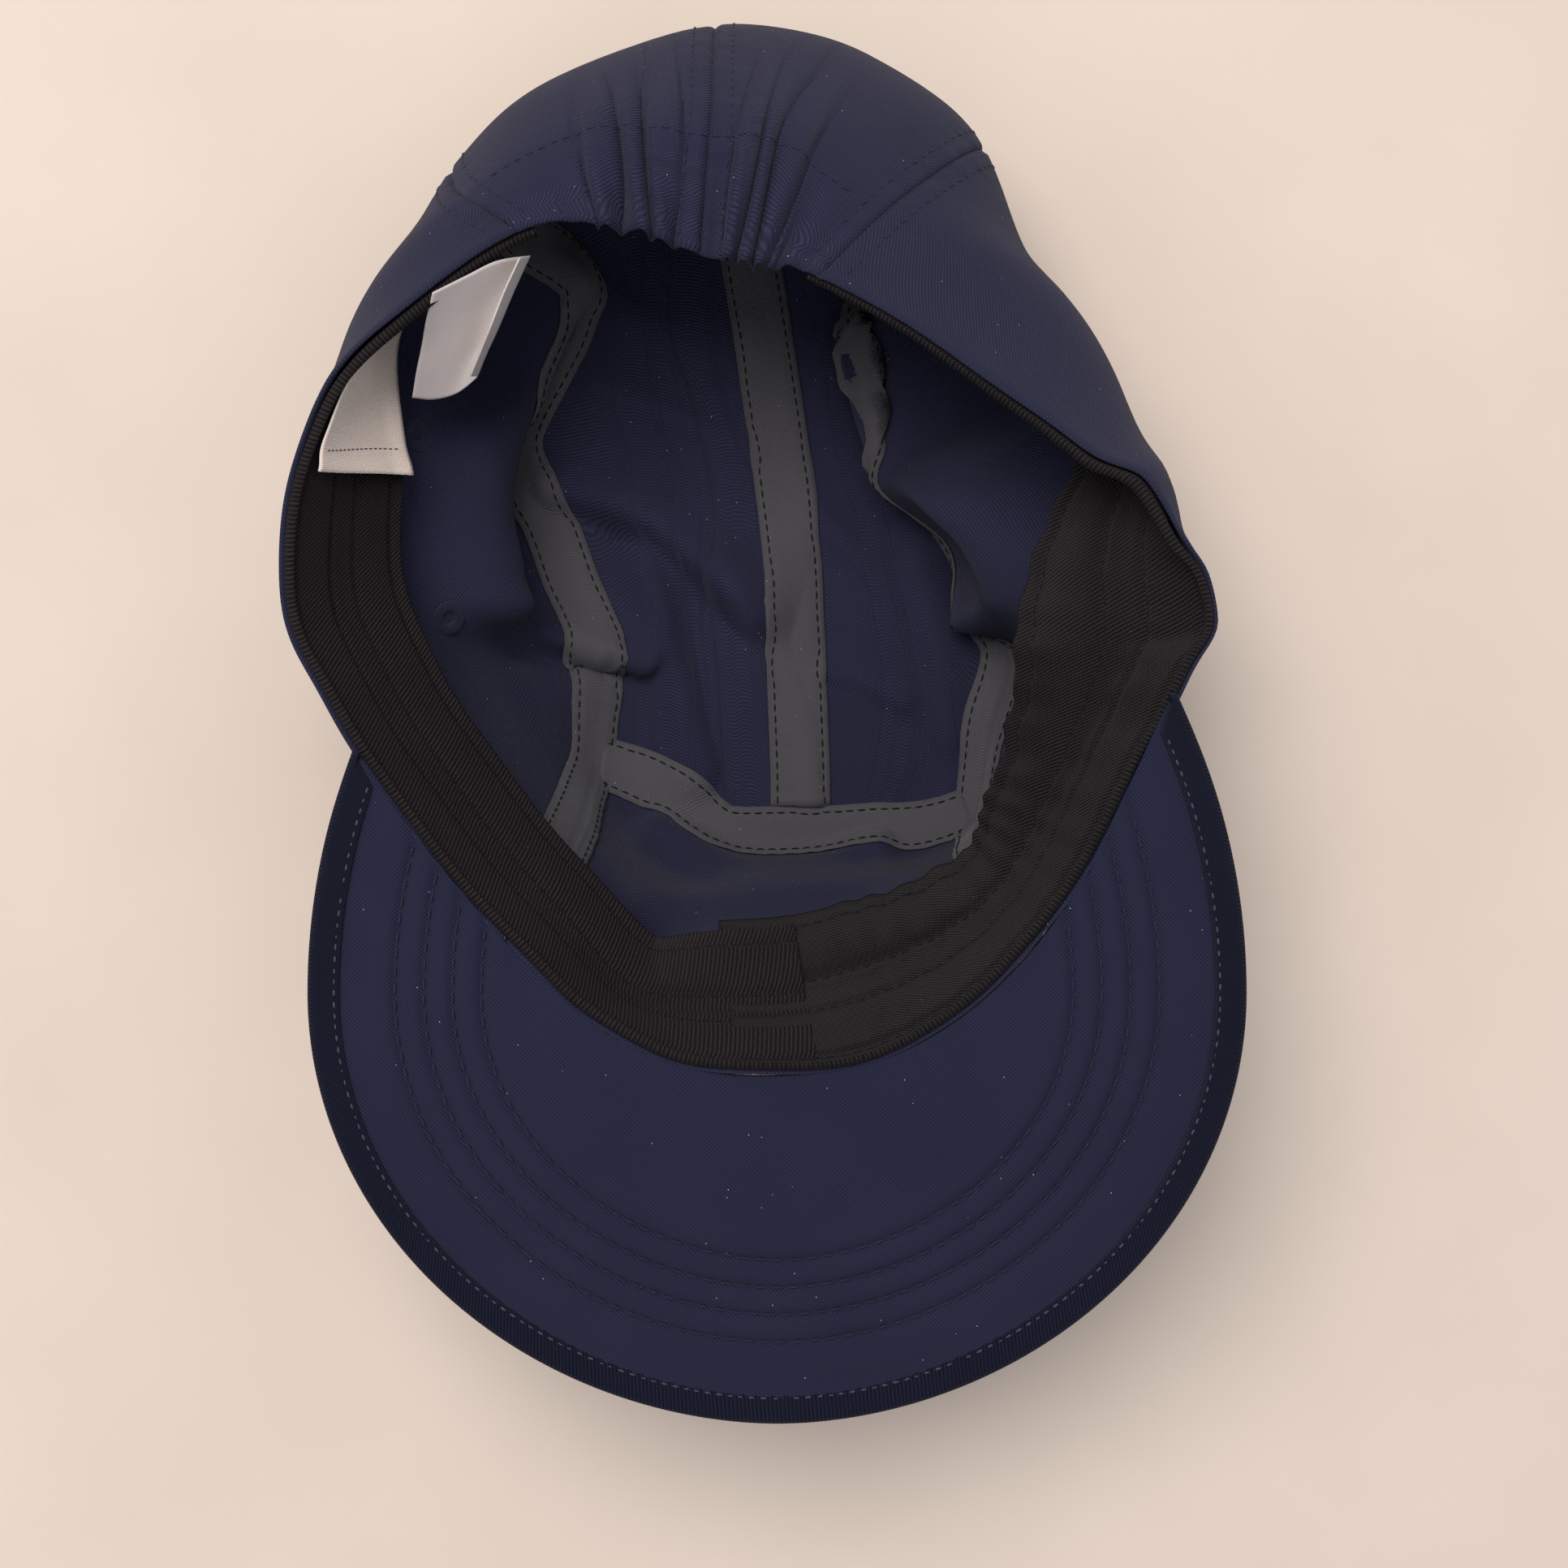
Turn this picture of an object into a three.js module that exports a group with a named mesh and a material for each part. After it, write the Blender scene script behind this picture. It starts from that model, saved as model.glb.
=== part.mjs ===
// A soft five-panel cap that lies upside down on its crown.
// Millimetres, +Z up, +Y to the back of the cap, the peak at the -Y end.
import * as THREE from 'three';

// Driving sizes
const SIDE_REACH = 100;
const END_REACH = 100;
const RIM_HEIGHT = 80;
const CLOTH = 1.2;
const SEW_GAP = 0.3;
const SEAM_INSET = 0.18;
const TAPE_WIDTH = 14;
const TAPE_CLOTH = 0.8;
const BAND_WIDTH = 33;
const BAND_CLOTH = 1.2;
const BAND_LIFT = 3;
const PEAK_LENGTH = 88;
const PEAK_SHOULDER = 114;
const PEAK_HALF_WIDTH = 94.5;
const PEAK_BOARD = 3;
const PEAK_DROOP = 9;
const PEAK_END_WIDTH = 7;
const BINDING_WIDTH = 6.5;
const BINDING_CLOTH = 0.7;
const CREASE_HEIGHT = 3;
const GATHER_DEPTH = 2.2;
const LABEL_CLOTH = 0.5;
const LABEL_INSET = 1;
const CARE_LABEL_LIFT = 11;
const EYELET_RADIUS = 3.6;
const EYELET_CORD = 0.8;

// Mesh counts
const BAND_ROWS = 3;
const WALL_ROWS = 10;
const SEAM_STEPS = 14;
const HALF_COLUMNS = 12;
const PEAK_ROWS = 6;
const EYELET_SIDES = 10;
const EYELET_CORD_SIDES = 4;
const LINE_SAMPLES = 200;
const MARGIN_TURNS = 4;

// Small steps and limits of the geometry
const NORMAL_STEP = 0.004;
const SPOT_SCALE = 1e5;
const OUTLINE_PRECISION = 1e-4;
const SHARPEST_CORNER = -0.5;
const SEAM_TENSION = 0.5;

// Sections of the crown, walked from the front round the left side to the back and the right side.
// Each point is [x, y, z] in shares of SIDE_REACH, END_REACH and RIM_HEIGHT.
// rim: head opening; brow: a band's width in; waist: middle of the wall; foot: where the wall
// turns under; sole: half way to the middle; bandLift: how far the band stands off, in shares of BAND_LIFT.
const SECTIONS = [
  { name: 'front', rim: [-0.06, -0.59, 0.94], brow: [-0.09, -0.38, 0.64],
    waist: [-0.06, -0.27, 0.35], foot: [0.03, -0.12, 0], sole: [0.03, 0.25, 0], bandLift: 1 },
  { name: 'front_left_1', rim: [-0.325, -0.52, 0.94], brow: [-0.31, -0.35, 0.65],
    waist: [-0.28, -0.21, 0.35], foot: [-0.24, -0.06, 0.01], sole: [-0.12, 0.28, 0], bandLift: 1 },
  { name: 'front_left', rim: [-0.56, -0.32, 0.94], brow: [-0.51, -0.2, 0.63],
    waist: [-0.475, -0.09, 0.35], foot: [-0.45, 0.05, 0.05], sole: [-0.24, 0.33, 0], bandLift: 1 },
  { name: 'corner_left', rim: [-0.86, 0.06, 0.965], brow: [-0.74, 0.12, 0.63],
    waist: [-0.66, 0.18, 0.35], foot: [-0.52, 0.26, 0.09], sole: [-0.3, 0.42, 0], bandLift: 1 },
  { name: 'left', rim: [-0.994, 0.335, 0.985], brow: [-0.86, 0.37, 0.66],
    waist: [-0.76, 0.42, 0.4], foot: [-0.62, 0.46, 0.06], sole: [-0.33, 0.52, 0], bandLift: 1 },
  { name: 'left_back_1', rim: [-0.98, 0.64, 1], brow: [-0.9, 0.65, 0.7],
    waist: [-0.77, 0.66, 0.4], foot: [-0.64, 0.68, 0.05], sole: [-0.34, 0.66, 0], bandLift: 1 },
  { name: 'left_back_2', rim: [-0.845, 0.885, 0.975], brow: [-0.91, 0.97, 0.7],
    waist: [-0.8, 1.01, 0.38], foot: [-0.6, 0.93, 0.07], sole: [-0.3, 0.8, 0], bandLift: 1 },
  { name: 'back_left', rim: [-0.54, 1.12, 0.91], brow: [-0.68, 1.23, 0.78],
    waist: [-0.72, 1.34, 0.48], foot: [-0.51, 1.17, 0.08], sole: [-0.24, 0.92, 0], bandLift: 1 },
  { name: 'gather_left', rim: [-0.36, 1.135, 0.89], brow: [-0.4, 1.38, 0.83],
    waist: [-0.45, 1.55, 0.47], foot: [-0.38, 1.34, 0.05], sole: [-0.2, 1, 0], bandLift: 1 },
  { name: 'back', rim: [-0.17, 1.08, 0.875], brow: [-0.15, 1.38, 0.85],
    waist: [-0.15, 1.66, 0.46], foot: [-0.12, 1.48, 0.05], sole: [-0.05, 1.05, 0], bandLift: 1 },
  { name: 'gather_right', rim: [-0.06, 1.055, 0.88], brow: [0.02, 1.36, 0.83],
    waist: [0.13, 1.58, 0.46], foot: [0.08, 1.42, 0.05], sole: [0.02, 1.03, 0], bandLift: 1 },
  { name: 'back_right', rim: [0.07, 1.035, 0.9], brow: [0.24, 1.21, 0.8],
    waist: [0.41, 1.36, 0.5], foot: [0.28, 1.22, 0.08], sole: [0.1, 0.98, 0], bandLift: 1 },
  { name: 'right_back_2', rim: [0.45, 0.78, 0.975], brow: [0.6, 1.02, 0.72],
    waist: [0.55, 0.98, 0.38], foot: [0.36, 0.9, 0.07], sole: [0.16, 0.78, 0], bandLift: 1 },
  { name: 'right_back_1', rim: [0.69, 0.58, 1], brow: [0.74, 0.67, 0.69],
    waist: [0.56, 0.64, 0.38], foot: [0.46, 0.63, 0.06], sole: [0.22, 0.62, 0], bandLift: 1.33 },
  { name: 'right', rim: [0.825, 0.35, 1], brow: [0.62, 0.33, 0.72],
    waist: [0.5, 0.33, 0.4], foot: [0.48, 0.33, 0.06], sole: [0.24, 0.5, 0], bandLift: 3 },
  { name: 'corner_right', rim: [0.74, 0.1, 0.97], brow: [0.56, 0.09, 0.67],
    waist: [0.46, 0.08, 0.38], foot: [0.45, 0.12, 0.08], sole: [0.24, 0.42, 0], bandLift: 2.67 },
  { name: 'front_right', rim: [0.53, -0.3, 0.94], brow: [0.44, -0.19, 0.63],
    waist: [0.42, -0.12, 0.35], foot: [0.42, -0.02, 0.05], sole: [0.2, 0.32, 0], bandLift: 1.67 },
  { name: 'front_right_1', rim: [0.26, -0.53, 0.94], brow: [0.21, -0.32, 0.65],
    waist: [0.22, -0.22, 0.35], foot: [0.2, -0.1, 0.01], sole: [0.12, 0.27, 0], bandLift: 1 },
];
const MIDDLE = [0.01, 0.62, 0];

// How far in from the head opening each ring of the sections lies, as a share of the way to the middle
const RINGS = { rim: 0, brow: 0.19, waist: 0.36, foot: 0.54, sole: 0.77, middle: 1 };

// Seams over the side panels, as [section, way in], from the cross seam to the back
const LEFT_SEAM = [
  { section: 2, inward: 0.54 },
  { section: 3, inward: 0.58 },
  { section: 4, inward: 0.6 },
  { section: 5, inward: 0.59 },
  { section: 6, inward: 0.54 },
  { section: 7, inward: 0.52 },
];
const RIGHT_SEAM = [
  { section: 16, inward: 0.54 },
  { section: 15, inward: 0.55 },
  { section: 14, inward: 0.55 },
  { section: 13, inward: 0.56 },
  { section: 12, inward: 0.6 },
  { section: 11, inward: 0.54 },
];

// Soft creases: a line on the flattened crown between two ends, its half width there, and its height
// in shares of CREASE_HEIGHT
const CREASES = [
  { name: 'top_left_upper', from: [-0.3, 0.35], to: [-0.06, 0.22], half: 0.05, height: 0.75 },
  { name: 'top_left_middle', from: [-0.3, 0.12], to: [-0.05, -0.08], half: 0.06, height: 0.85 },
  { name: 'top_left_valley', from: [-0.22, 0.05], to: [-0.16, -0.35], half: 0.05, height: 0.6 },
  { name: 'left_roll', from: [-0.5, 0.34], to: [-0.58, -0.05], half: 0.07, height: 1 },
  { name: 'front_roll', from: [-0.3, -0.62], to: [0.28, -0.6], half: 0.06, height: 1 },
  { name: 'top_right_crease', from: [0.06, 0.02], to: [0.2, -0.08], half: 0.05, height: 0.6 },
  { name: 'right_roll', from: [0.44, 0.34], to: [0.5, -0.12], half: 0.07, height: 1 },
];

// Gathers of the back hem, one row for each run of folds
const GATHERS = [
  { from: 7.5, to: 9.4, folds: 3.5 },
  { from: 9.5, to: 10.9, folds: 3 },
];
const GATHER_REACH = 0.22;

// Colours and finishes
const navy = new THREE.MeshStandardMaterial({ color: 0x1e2136, roughness: 0.92, metalness: 0 });
const peakNavy = new THREE.MeshStandardMaterial({ color: 0x1b1e31, roughness: 0.92, metalness: 0 });
const ribbed = new THREE.MeshStandardMaterial({ color: 0x141726, roughness: 0.88, metalness: 0 });
const twill = new THREE.MeshStandardMaterial({ color: 0x1c1919, roughness: 0.85, metalness: 0 });
const tape = new THREE.MeshStandardMaterial({ color: 0x2f302f, roughness: 0.88, metalness: 0 });
const cream = new THREE.MeshStandardMaterial({ color: 0xbeafa5, roughness: 0.8, metalness: 0 });
const satin = new THREE.MeshStandardMaterial({ color: 0xc8bebe, roughness: 0.45, metalness: 0 });

// Cubic through b and c with the slopes of their neighbours
function cubic(a, b, c, d, t) {
  const startSlope = c.clone().sub(a).multiplyScalar(0.5);
  const endSlope = d.clone().sub(b).multiplyScalar(0.5);
  return hermite(b, startSlope, c, endSlope, t);
}

function hermite(start, startSlope, end, endSlope, t) {
  const t2 = t * t;
  const t3 = t2 * t;
  return start.clone().multiplyScalar(2 * t3 - 3 * t2 + 1)
    .addScaledVector(startSlope, t3 - 2 * t2 + t)
    .addScaledVector(end, 3 * t2 - 2 * t3)
    .addScaledVector(endSlope, t3 - t2);
}

function smooth(low, high, value) {
  return THREE.MathUtils.smoothstep(value, low, high);
}

function place(share) {
  return new THREE.Vector3(share[0] * SIDE_REACH, share[1] * END_REACH, share[2] * RIM_HEIGHT);
}

// One section's curve runs from the rim through its rings and the middle to the section opposite
function sectionKnots(index) {
  const near = SECTIONS[index];
  const far = SECTIONS[(index + SECTIONS.length / 2) % SECTIONS.length];
  const names = ['rim', 'brow', 'waist', 'foot', 'sole'];
  const knots = names.map((name) => ({ at: RINGS[name], point: place(near[name]) }));
  knots.push({ at: RINGS.middle, point: place(MIDDLE) });
  knots.push({ at: 2 - RINGS.sole, point: place(far.sole) });
  return knots;
}
const KNOTS = SECTIONS.map((section, index) => sectionKnots(index));

function alongSection(index, inward) {
  const knots = KNOTS[(index + SECTIONS.length) % SECTIONS.length];
  let k = 0;
  while (k < knots.length - 3 && inward > knots[k + 1].at) k += 1;
  const slope = (i) => {
    const before = knots[Math.max(i - 1, 0)];
    const after = knots[i + 1];
    return after.point.clone().sub(before.point).divideScalar(after.at - before.at);
  };
  const span = knots[k + 1].at - knots[k].at;
  const t = (inward - knots[k].at) / span;
  const startSlope = slope(k).multiplyScalar(span);
  const endSlope = slope(k + 1).multiplyScalar(span);
  return hermite(knots[k].point, startSlope, knots[k + 1].point, endSlope, t);
}

// The flattened crown is a disk: the rim is its circle, the front is down and the left side is left
function toDisk(section, inward) {
  const angle = -Math.PI / 2 - (section / SECTIONS.length) * 2 * Math.PI;
  return new THREE.Vector2(Math.cos(angle), Math.sin(angle)).multiplyScalar(1 - inward);
}

function fromDisk(spot) {
  const turn = (-Math.PI / 2 - Math.atan2(spot.y, spot.x)) / (2 * Math.PI);
  const section = (((turn % 1) + 1) % 1) * SECTIONS.length;
  return { section, inward: 1 - spot.length() };
}

function plainCrown(spot) {
  const { section, inward } = fromDisk(spot);
  const k = Math.floor(section);
  const points = [-1, 0, 1, 2].map((step) => alongSection(k + step, Math.max(inward, 0)));
  return cubic(points[0], points[1], points[2], points[3], section - k);
}

function creaseHeight(spot) {
  let height = 0;
  for (const crease of CREASES) {
    const from = new THREE.Vector2(...crease.from);
    const run = new THREE.Vector2(...crease.to).sub(from);
    const t = THREE.MathUtils.clamp(spot.clone().sub(from).dot(run) / run.lengthSq(), 0, 1);
    const away = spot.distanceTo(from.addScaledVector(run, t)) / crease.half;
    height += CREASE_HEIGHT * crease.height * Math.exp(-away * away);
  }
  return height;
}

function gatherHeight(spot) {
  const { section, inward } = fromDisk(spot);
  let height = 0;
  for (const run of GATHERS) {
    const t = (section - run.from) / (run.to - run.from);
    if (t <= 0 || t >= 1) continue;
    const fade = Math.sin(Math.PI * t) ** 0.5 * (1 - smooth(0, GATHER_REACH, inward));
    height += GATHER_DEPTH * fade * Math.cos(2 * Math.PI * run.folds * t);
  }
  return height;
}

function measuredNormal(surface, spot) {
  const step = NORMAL_STEP;
  const across = surface(new THREE.Vector2(spot.x + step, spot.y))
    .sub(surface(new THREE.Vector2(spot.x - step, spot.y)));
  const along = surface(new THREE.Vector2(spot.x, spot.y + step))
    .sub(surface(new THREE.Vector2(spot.x, spot.y - step)));
  return across.cross(along).normalize();
}

// The middle of the cloth: sections, then folds, then flattened where the crown rests
function crown(spot) {
  const point = plainCrown(spot);
  const fold = creaseHeight(spot) + gatherHeight(spot);
  point.addScaledVector(measuredNormal(plainCrown, spot), fold);
  point.z = Math.max(point.z, CLOTH / 2);
  return point;
}

// Spots along a line on the flattened crown, placed by their true distance along the cloth
function spread(line, places) {
  const fine = LINE_SAMPLES;
  const spots = [];
  for (let i = 0; i <= fine; i += 1) spots.push(line(i / fine));
  const run = [0];
  for (let i = 1; i <= fine; i += 1) {
    run.push(run[i - 1] + crown(spots[i]).distanceTo(crown(spots[i - 1])));
  }
  return places(run[fine]).map((distance) => {
    let i = 1;
    while (i < fine && run[i] < distance) i += 1;
    const t = THREE.MathUtils.clamp((distance - run[i - 1]) / (run[i] - run[i - 1]), 0, 1);
    return spots[i - 1].clone().lerp(spots[i], t);
  });
}

function even(from, to, count) {
  return Array.from({ length: count + 1 }, (unused, i) => from + ((to - from) * i) / count);
}

// Rows up a wall seam: the band's rows, then even rows, then a tape's half width at the top
function wallPlaces(length) {
  const band = even(0, BAND_WIDTH, BAND_ROWS);
  const upper = even(BAND_WIDTH, length - TAPE_WIDTH / 2, WALL_ROWS - BAND_ROWS - 1);
  return [...band, ...upper.slice(1), length];
}

function taped(count) {
  return (length) => {
    const inner = even(TAPE_WIDTH / 2, length - TAPE_WIDTH / 2, count - 2);
    return [0, ...inner, length];
  };
}

function evenly(count) {
  return (length) => even(0, length, count);
}

function seamLine(table) {
  const curve = new THREE.CatmullRomCurve3(
    table.map((row) => new THREE.Vector3(row.section, row.inward, 0)), false, 'catmullrom', SEAM_TENSION);
  return (t) => {
    const at = curve.getPoint(t);
    return toDisk(at.x, at.y);
  };
}

function ringLine(fromSection, toSection, inward) {
  return (t) => toDisk(fromSection + (toSection - fromSection) * t, inward);
}

function radialLine(section, fromInward, toInward) {
  return (t) => toDisk(section, fromInward + (toInward - fromInward) * t);
}

// Sections where the seams meet the rim
const COUNT = SECTIONS.length;
const FRONT_LEFT = 2;
const BACK_LEFT = 7;
const BACK = 9;
const BACK_RIGHT = 11;
const FRONT_RIGHT = 16;
const CROSS = RINGS.foot;

// Seam and rim samples that neighbouring panels share
const wallFrontLeft = spread(radialLine(FRONT_LEFT, 0, CROSS), wallPlaces);
const wallFrontRight = spread(radialLine(FRONT_RIGHT, 0, CROSS), wallPlaces);
const wallBackLeft = spread(radialLine(BACK_LEFT, 0, LEFT_SEAM.at(-1).inward), wallPlaces);
const wallBackRight = spread(radialLine(BACK_RIGHT, 0, RIGHT_SEAM.at(-1).inward), wallPlaces);
const wallBack = spread(radialLine(BACK, 0, CROSS), wallPlaces);
const seamLeft = spread(seamLine(LEFT_SEAM), taped(SEAM_STEPS));
const seamRight = spread(seamLine(RIGHT_SEAM), taped(SEAM_STEPS));
const seamCentre = spread((t) => toDisk(0, CROSS).lerp(toDisk(BACK, CROSS), t), taped(SEAM_STEPS));
const crossLeft = spread(ringLine(FRONT_LEFT, 0, CROSS), taped(HALF_COLUMNS));
const crossRight = spread(ringLine(COUNT, FRONT_RIGHT, CROSS), taped(HALF_COLUMNS));
const rimFrontLeft = spread(ringLine(FRONT_LEFT, 0, 0), taped(HALF_COLUMNS));
const rimFrontRight = spread(ringLine(COUNT, FRONT_RIGHT, 0), taped(HALF_COLUMNS));
const rimLeft = spread(ringLine(FRONT_LEFT, BACK_LEFT, 0), taped(SEAM_STEPS));
const rimRight = spread(ringLine(FRONT_RIGHT, BACK_RIGHT, 0), taped(SEAM_STEPS));
const rimBackLeft = spread(ringLine(BACK_LEFT, BACK, 0), evenly(HALF_COLUMNS));
const rimBackRight = spread(ringLine(BACK, BACK_RIGHT, 0), evenly(HALF_COLUMNS));

function joined(first, second) {
  return [...first, ...second.slice(1)];
}

function runShares(spots) {
  const run = [0];
  for (let i = 1; i < spots.length; i += 1) {
    run.push(run[i - 1] + crown(spots[i]).distanceTo(crown(spots[i - 1])));
  }
  return run.map((distance) => distance / run.at(-1));
}

// A grid of spots stretched between four edges; low and high run one way, start and end the other
function patch(low, high, start, end) {
  const lowShare = runShares(low);
  const highShare = runShares(high);
  const startShare = runShares(start);
  const endShare = runShares(end);
  return low.map((unused, i) => start.map((unusedToo, j) => {
    const mixU = (1 - j / (start.length - 1)) * lowShare[i] + (j / (start.length - 1)) * highShare[i];
    const mixV = (1 - i / (low.length - 1)) * startShare[j] + (i / (low.length - 1)) * endShare[j];
    const ruledV = low[i].clone().lerp(high[i], mixV);
    const ruledU = start[j].clone().lerp(end[j], mixU);
    const lowCorner = low[0].clone().lerp(low.at(-1), mixU);
    const highCorner = high[0].clone().lerp(high.at(-1), mixU);
    const edge = i === 0 || j === 0 || i === low.length - 1 || j === start.length - 1;
    if (edge) return borderSpot(low, high, start, end, i, j);
    return ruledV.add(ruledU).sub(lowCorner.lerp(highCorner, mixV));
  }));
}

function borderSpot(low, high, start, end, i, j) {
  if (j === 0) return low[i].clone();
  if (j === start.length - 1) return high[i].clone();
  return (i === 0 ? start[j] : end[j]).clone();
}

// Draws the spots beside an edge to a tape's half width from it
function drawMargin(grid, edgeSpots, besideSpots) {
  edgeSpots.forEach(([i, j], index) => {
    const edge = grid[i][j];
    const [bi, bj] = besideSpots[index];
    const beside = grid[bi][bj];
    for (let turn = 0; turn < MARGIN_TURNS; turn += 1) {
      const away = crown(beside).distanceTo(crown(edge));
      beside.sub(edge).multiplyScalar(TAPE_WIDTH / 2 / away).add(edge);
    }
  });
}

function range(from, to) {
  return Array.from({ length: to - from }, (unused, i) => from + i);
}

function marginColumn(grid, column, beside) {
  const rows = range(BAND_ROWS, grid[0].length - 1);
  drawMargin(grid, rows.map((j) => [column, j]), rows.map((j) => [beside, j]));
}

function marginRow(grid, row, beside) {
  const columns = range(1, grid.length - 1);
  drawMargin(grid, columns.map((i) => [i, row]), columns.map((i) => [i, beside]));
}

// Panels as grids of spots, columns first; row 0 lies on the rim
const frontGrid = patch(
  joined(rimFrontLeft, rimFrontRight), joined(crossLeft, crossRight), wallFrontLeft, wallFrontRight);
marginColumn(frontGrid, 0, 1);
marginColumn(frontGrid, 2 * HALF_COLUMNS, 2 * HALF_COLUMNS - 1);
marginRow(frontGrid, WALL_ROWS, WALL_ROWS - 1);

const leftGrid = patch(rimLeft, seamLeft, wallFrontLeft, wallBackLeft);
marginColumn(leftGrid, 0, 1);
marginColumn(leftGrid, SEAM_STEPS, SEAM_STEPS - 1);
marginRow(leftGrid, WALL_ROWS, WALL_ROWS - 1);

const rightGrid = patch(rimRight, seamRight, wallFrontRight, wallBackRight);
marginColumn(rightGrid, 0, 1);
marginColumn(rightGrid, SEAM_STEPS, SEAM_STEPS - 1);
marginRow(rightGrid, WALL_ROWS, WALL_ROWS - 1);

function topGrid(rim, cross, sideWall, sideSeam) {
  const side = [...sideWall, ...sideSeam.slice(0, -1).reverse()];
  const middle = [...wallBack, ...seamCentre.slice(0, -1).reverse()];
  const grid = patch(rim, cross, side, middle);
  marginColumn(grid, 0, 1);
  marginColumn(grid, HALF_COLUMNS, HALF_COLUMNS - 1);
  marginRow(grid, side.length - 1, side.length - 2);
  return grid;
}
const topLeftGrid = topGrid(rimBackLeft, crossLeft, wallBackLeft, seamLeft);
const topRightGrid = topGrid(
  [...rimBackRight].reverse(), [...crossRight].reverse(), wallBackRight, seamRight);
const TOP_ROWS = topLeftGrid[0].length - 1;

// The four spots round each cell of a grid, turned so that all cells face into the crown
function cells(grid, columns, rows, mirrored) {
  const found = [];
  for (const i of columns) {
    for (const j of rows) {
      const ring = [grid[i][j], grid[i + 1][j], grid[i + 1][j + 1], grid[i][j + 1]];
      found.push(mirrored ? [ring[0], ring[3], ring[2], ring[1]] : ring);
    }
  }
  return found;
}

function spotKey(spot) {
  return `${Math.round(spot.x * SPOT_SCALE)},${Math.round(spot.y * SPOT_SCALE)}`;
}

// Boundary steps of a set of cells, each spot leading to the next one
function outlineOf(faces) {
  const open = new Map();
  for (const face of faces) {
    face.forEach((id, corner) => {
      const next = face[(corner + 1) % face.length];
      if (open.has(`${next}>${id}`)) open.delete(`${next}>${id}`);
      else open.set(`${id}>${next}`, [id, next]);
    });
  }
  return [...open.values()];
}

// Moves the outline inwards along the cloth, so that neighbours keep a small gap
function drawIn(points, normals, outline, inset) {
  const before = new Map(outline.map(([from, to]) => [to, from]));
  const after = new Map(outline.map(([from, to]) => [from, to]));
  const moved = points.map((point) => point.clone());
  for (const [id, next] of after) {
    const side = (from, to) => {
      const along = points[to].clone().sub(points[from]);
      return normals[id].clone().cross(along).normalize();
    };
    const first = side(before.get(id), id);
    const second = side(id, next);
    const inward = first.clone().add(second).divideScalar(1 + Math.max(first.dot(second), SHARPEST_CORNER));
    moved[id].addScaledVector(inward, inset);
  }
  return moved;
}

// A closed solid of cloth over a set of cells, between two heights above the crown's middle
function clothOver(cellList, lowAt, highAt, inset) {
  const ids = new Map();
  const spots = [];
  const faces = cellList.map((cell) => cell.map((spot) => {
    const key = spotKey(spot);
    if (!ids.has(key)) {
      ids.set(key, spots.length);
      spots.push(spot);
    }
    return ids.get(key);
  }));
  const points = spots.map((spot) => crown(spot));
  const normals = spots.map((spot) => measuredNormal(crown, spot));
  const outline = outlineOf(faces);
  const seated = drawIn(points, normals, outline, inset);
  const shifted = (heightAt) => seated.map((point, id) => {
    const found = point.clone().addScaledVector(normals[id], heightAt(spots[id]));
    found.z = Math.max(found.z, 0);
    return found;
  });
  const low = shifted(lowAt);
  const high = shifted(highAt);
  return closedSolid([...low, ...high], faces, outline, spots.length);
}

function closedSolid(points, faces, outline, topStart) {
  const indices = [];
  for (const [a, b, c, d] of faces) {
    indices.push(a, c, b, a, d, c);
    indices.push(topStart + a, topStart + b, topStart + c);
    indices.push(topStart + a, topStart + c, topStart + d);
  }
  for (const [a, b] of outline) {
    indices.push(a, b, topStart + b, a, topStart + b, topStart + a);
  }
  const geometry = new THREE.BufferGeometry();
  geometry.setAttribute('position', new THREE.Float32BufferAttribute(
    points.flatMap((point) => [point.x, point.y, point.z]), 3));
  geometry.setIndex(indices);
  geometry.computeVertexNormals();
  return geometry;
}

const cap = new THREE.Group();

function add(name, geometry, material) {
  const mesh = new THREE.Mesh(geometry, material);
  mesh.name = name;
  cap.add(mesh);
}

function panel(name, cellList) {
  add(name, clothOver(cellList, () => -CLOTH / 2, () => CLOTH / 2, SEAM_INSET), navy);
}

const WALL = range(0, WALL_ROWS);
const TOP = range(0, TOP_ROWS);
const HALF = range(0, HALF_COLUMNS);
const FULL = range(0, 2 * HALF_COLUMNS);
const SIDE = range(0, SEAM_STEPS);

function crownPanels() {
  panel('front_panel', cells(frontGrid, FULL, WALL, false));
  panel('side_panel_left', cells(leftGrid, SIDE, WALL, true));
  panel('side_panel_right', cells(rightGrid, SIDE, WALL, false));
  panel('top_panel_left', cells(topLeftGrid, HALF, TOP, true));
  panel('top_panel_right', cells(topRightGrid, HALF, TOP, false));
}

// Seam tapes lie inside the crown, on the cells beside their seams
const TAPE_LOW = CLOTH / 2 + SEW_GAP;
const TAPE_HIGH = TAPE_LOW + TAPE_CLOTH;

function seamTape(name, cellList) {
  add(name, clothOver(cellList, () => TAPE_LOW, () => TAPE_HIGH, SEAM_INSET), tape);
}

function sideTapeCells(sideGrid, topSideGrid, frontColumn, mirrored) {
  const upper = range(BAND_ROWS, WALL_ROWS);
  const between = range(1, SEAM_STEPS - 1);
  return [
    ...cells(frontGrid, [frontColumn], upper, false),
    ...cells(sideGrid, [0, SEAM_STEPS - 1], upper, mirrored),
    ...cells(sideGrid, between, [WALL_ROWS - 1], mirrored),
    ...cells(topSideGrid, [0], range(BAND_ROWS, TOP_ROWS), mirrored),
  ];
}

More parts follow.
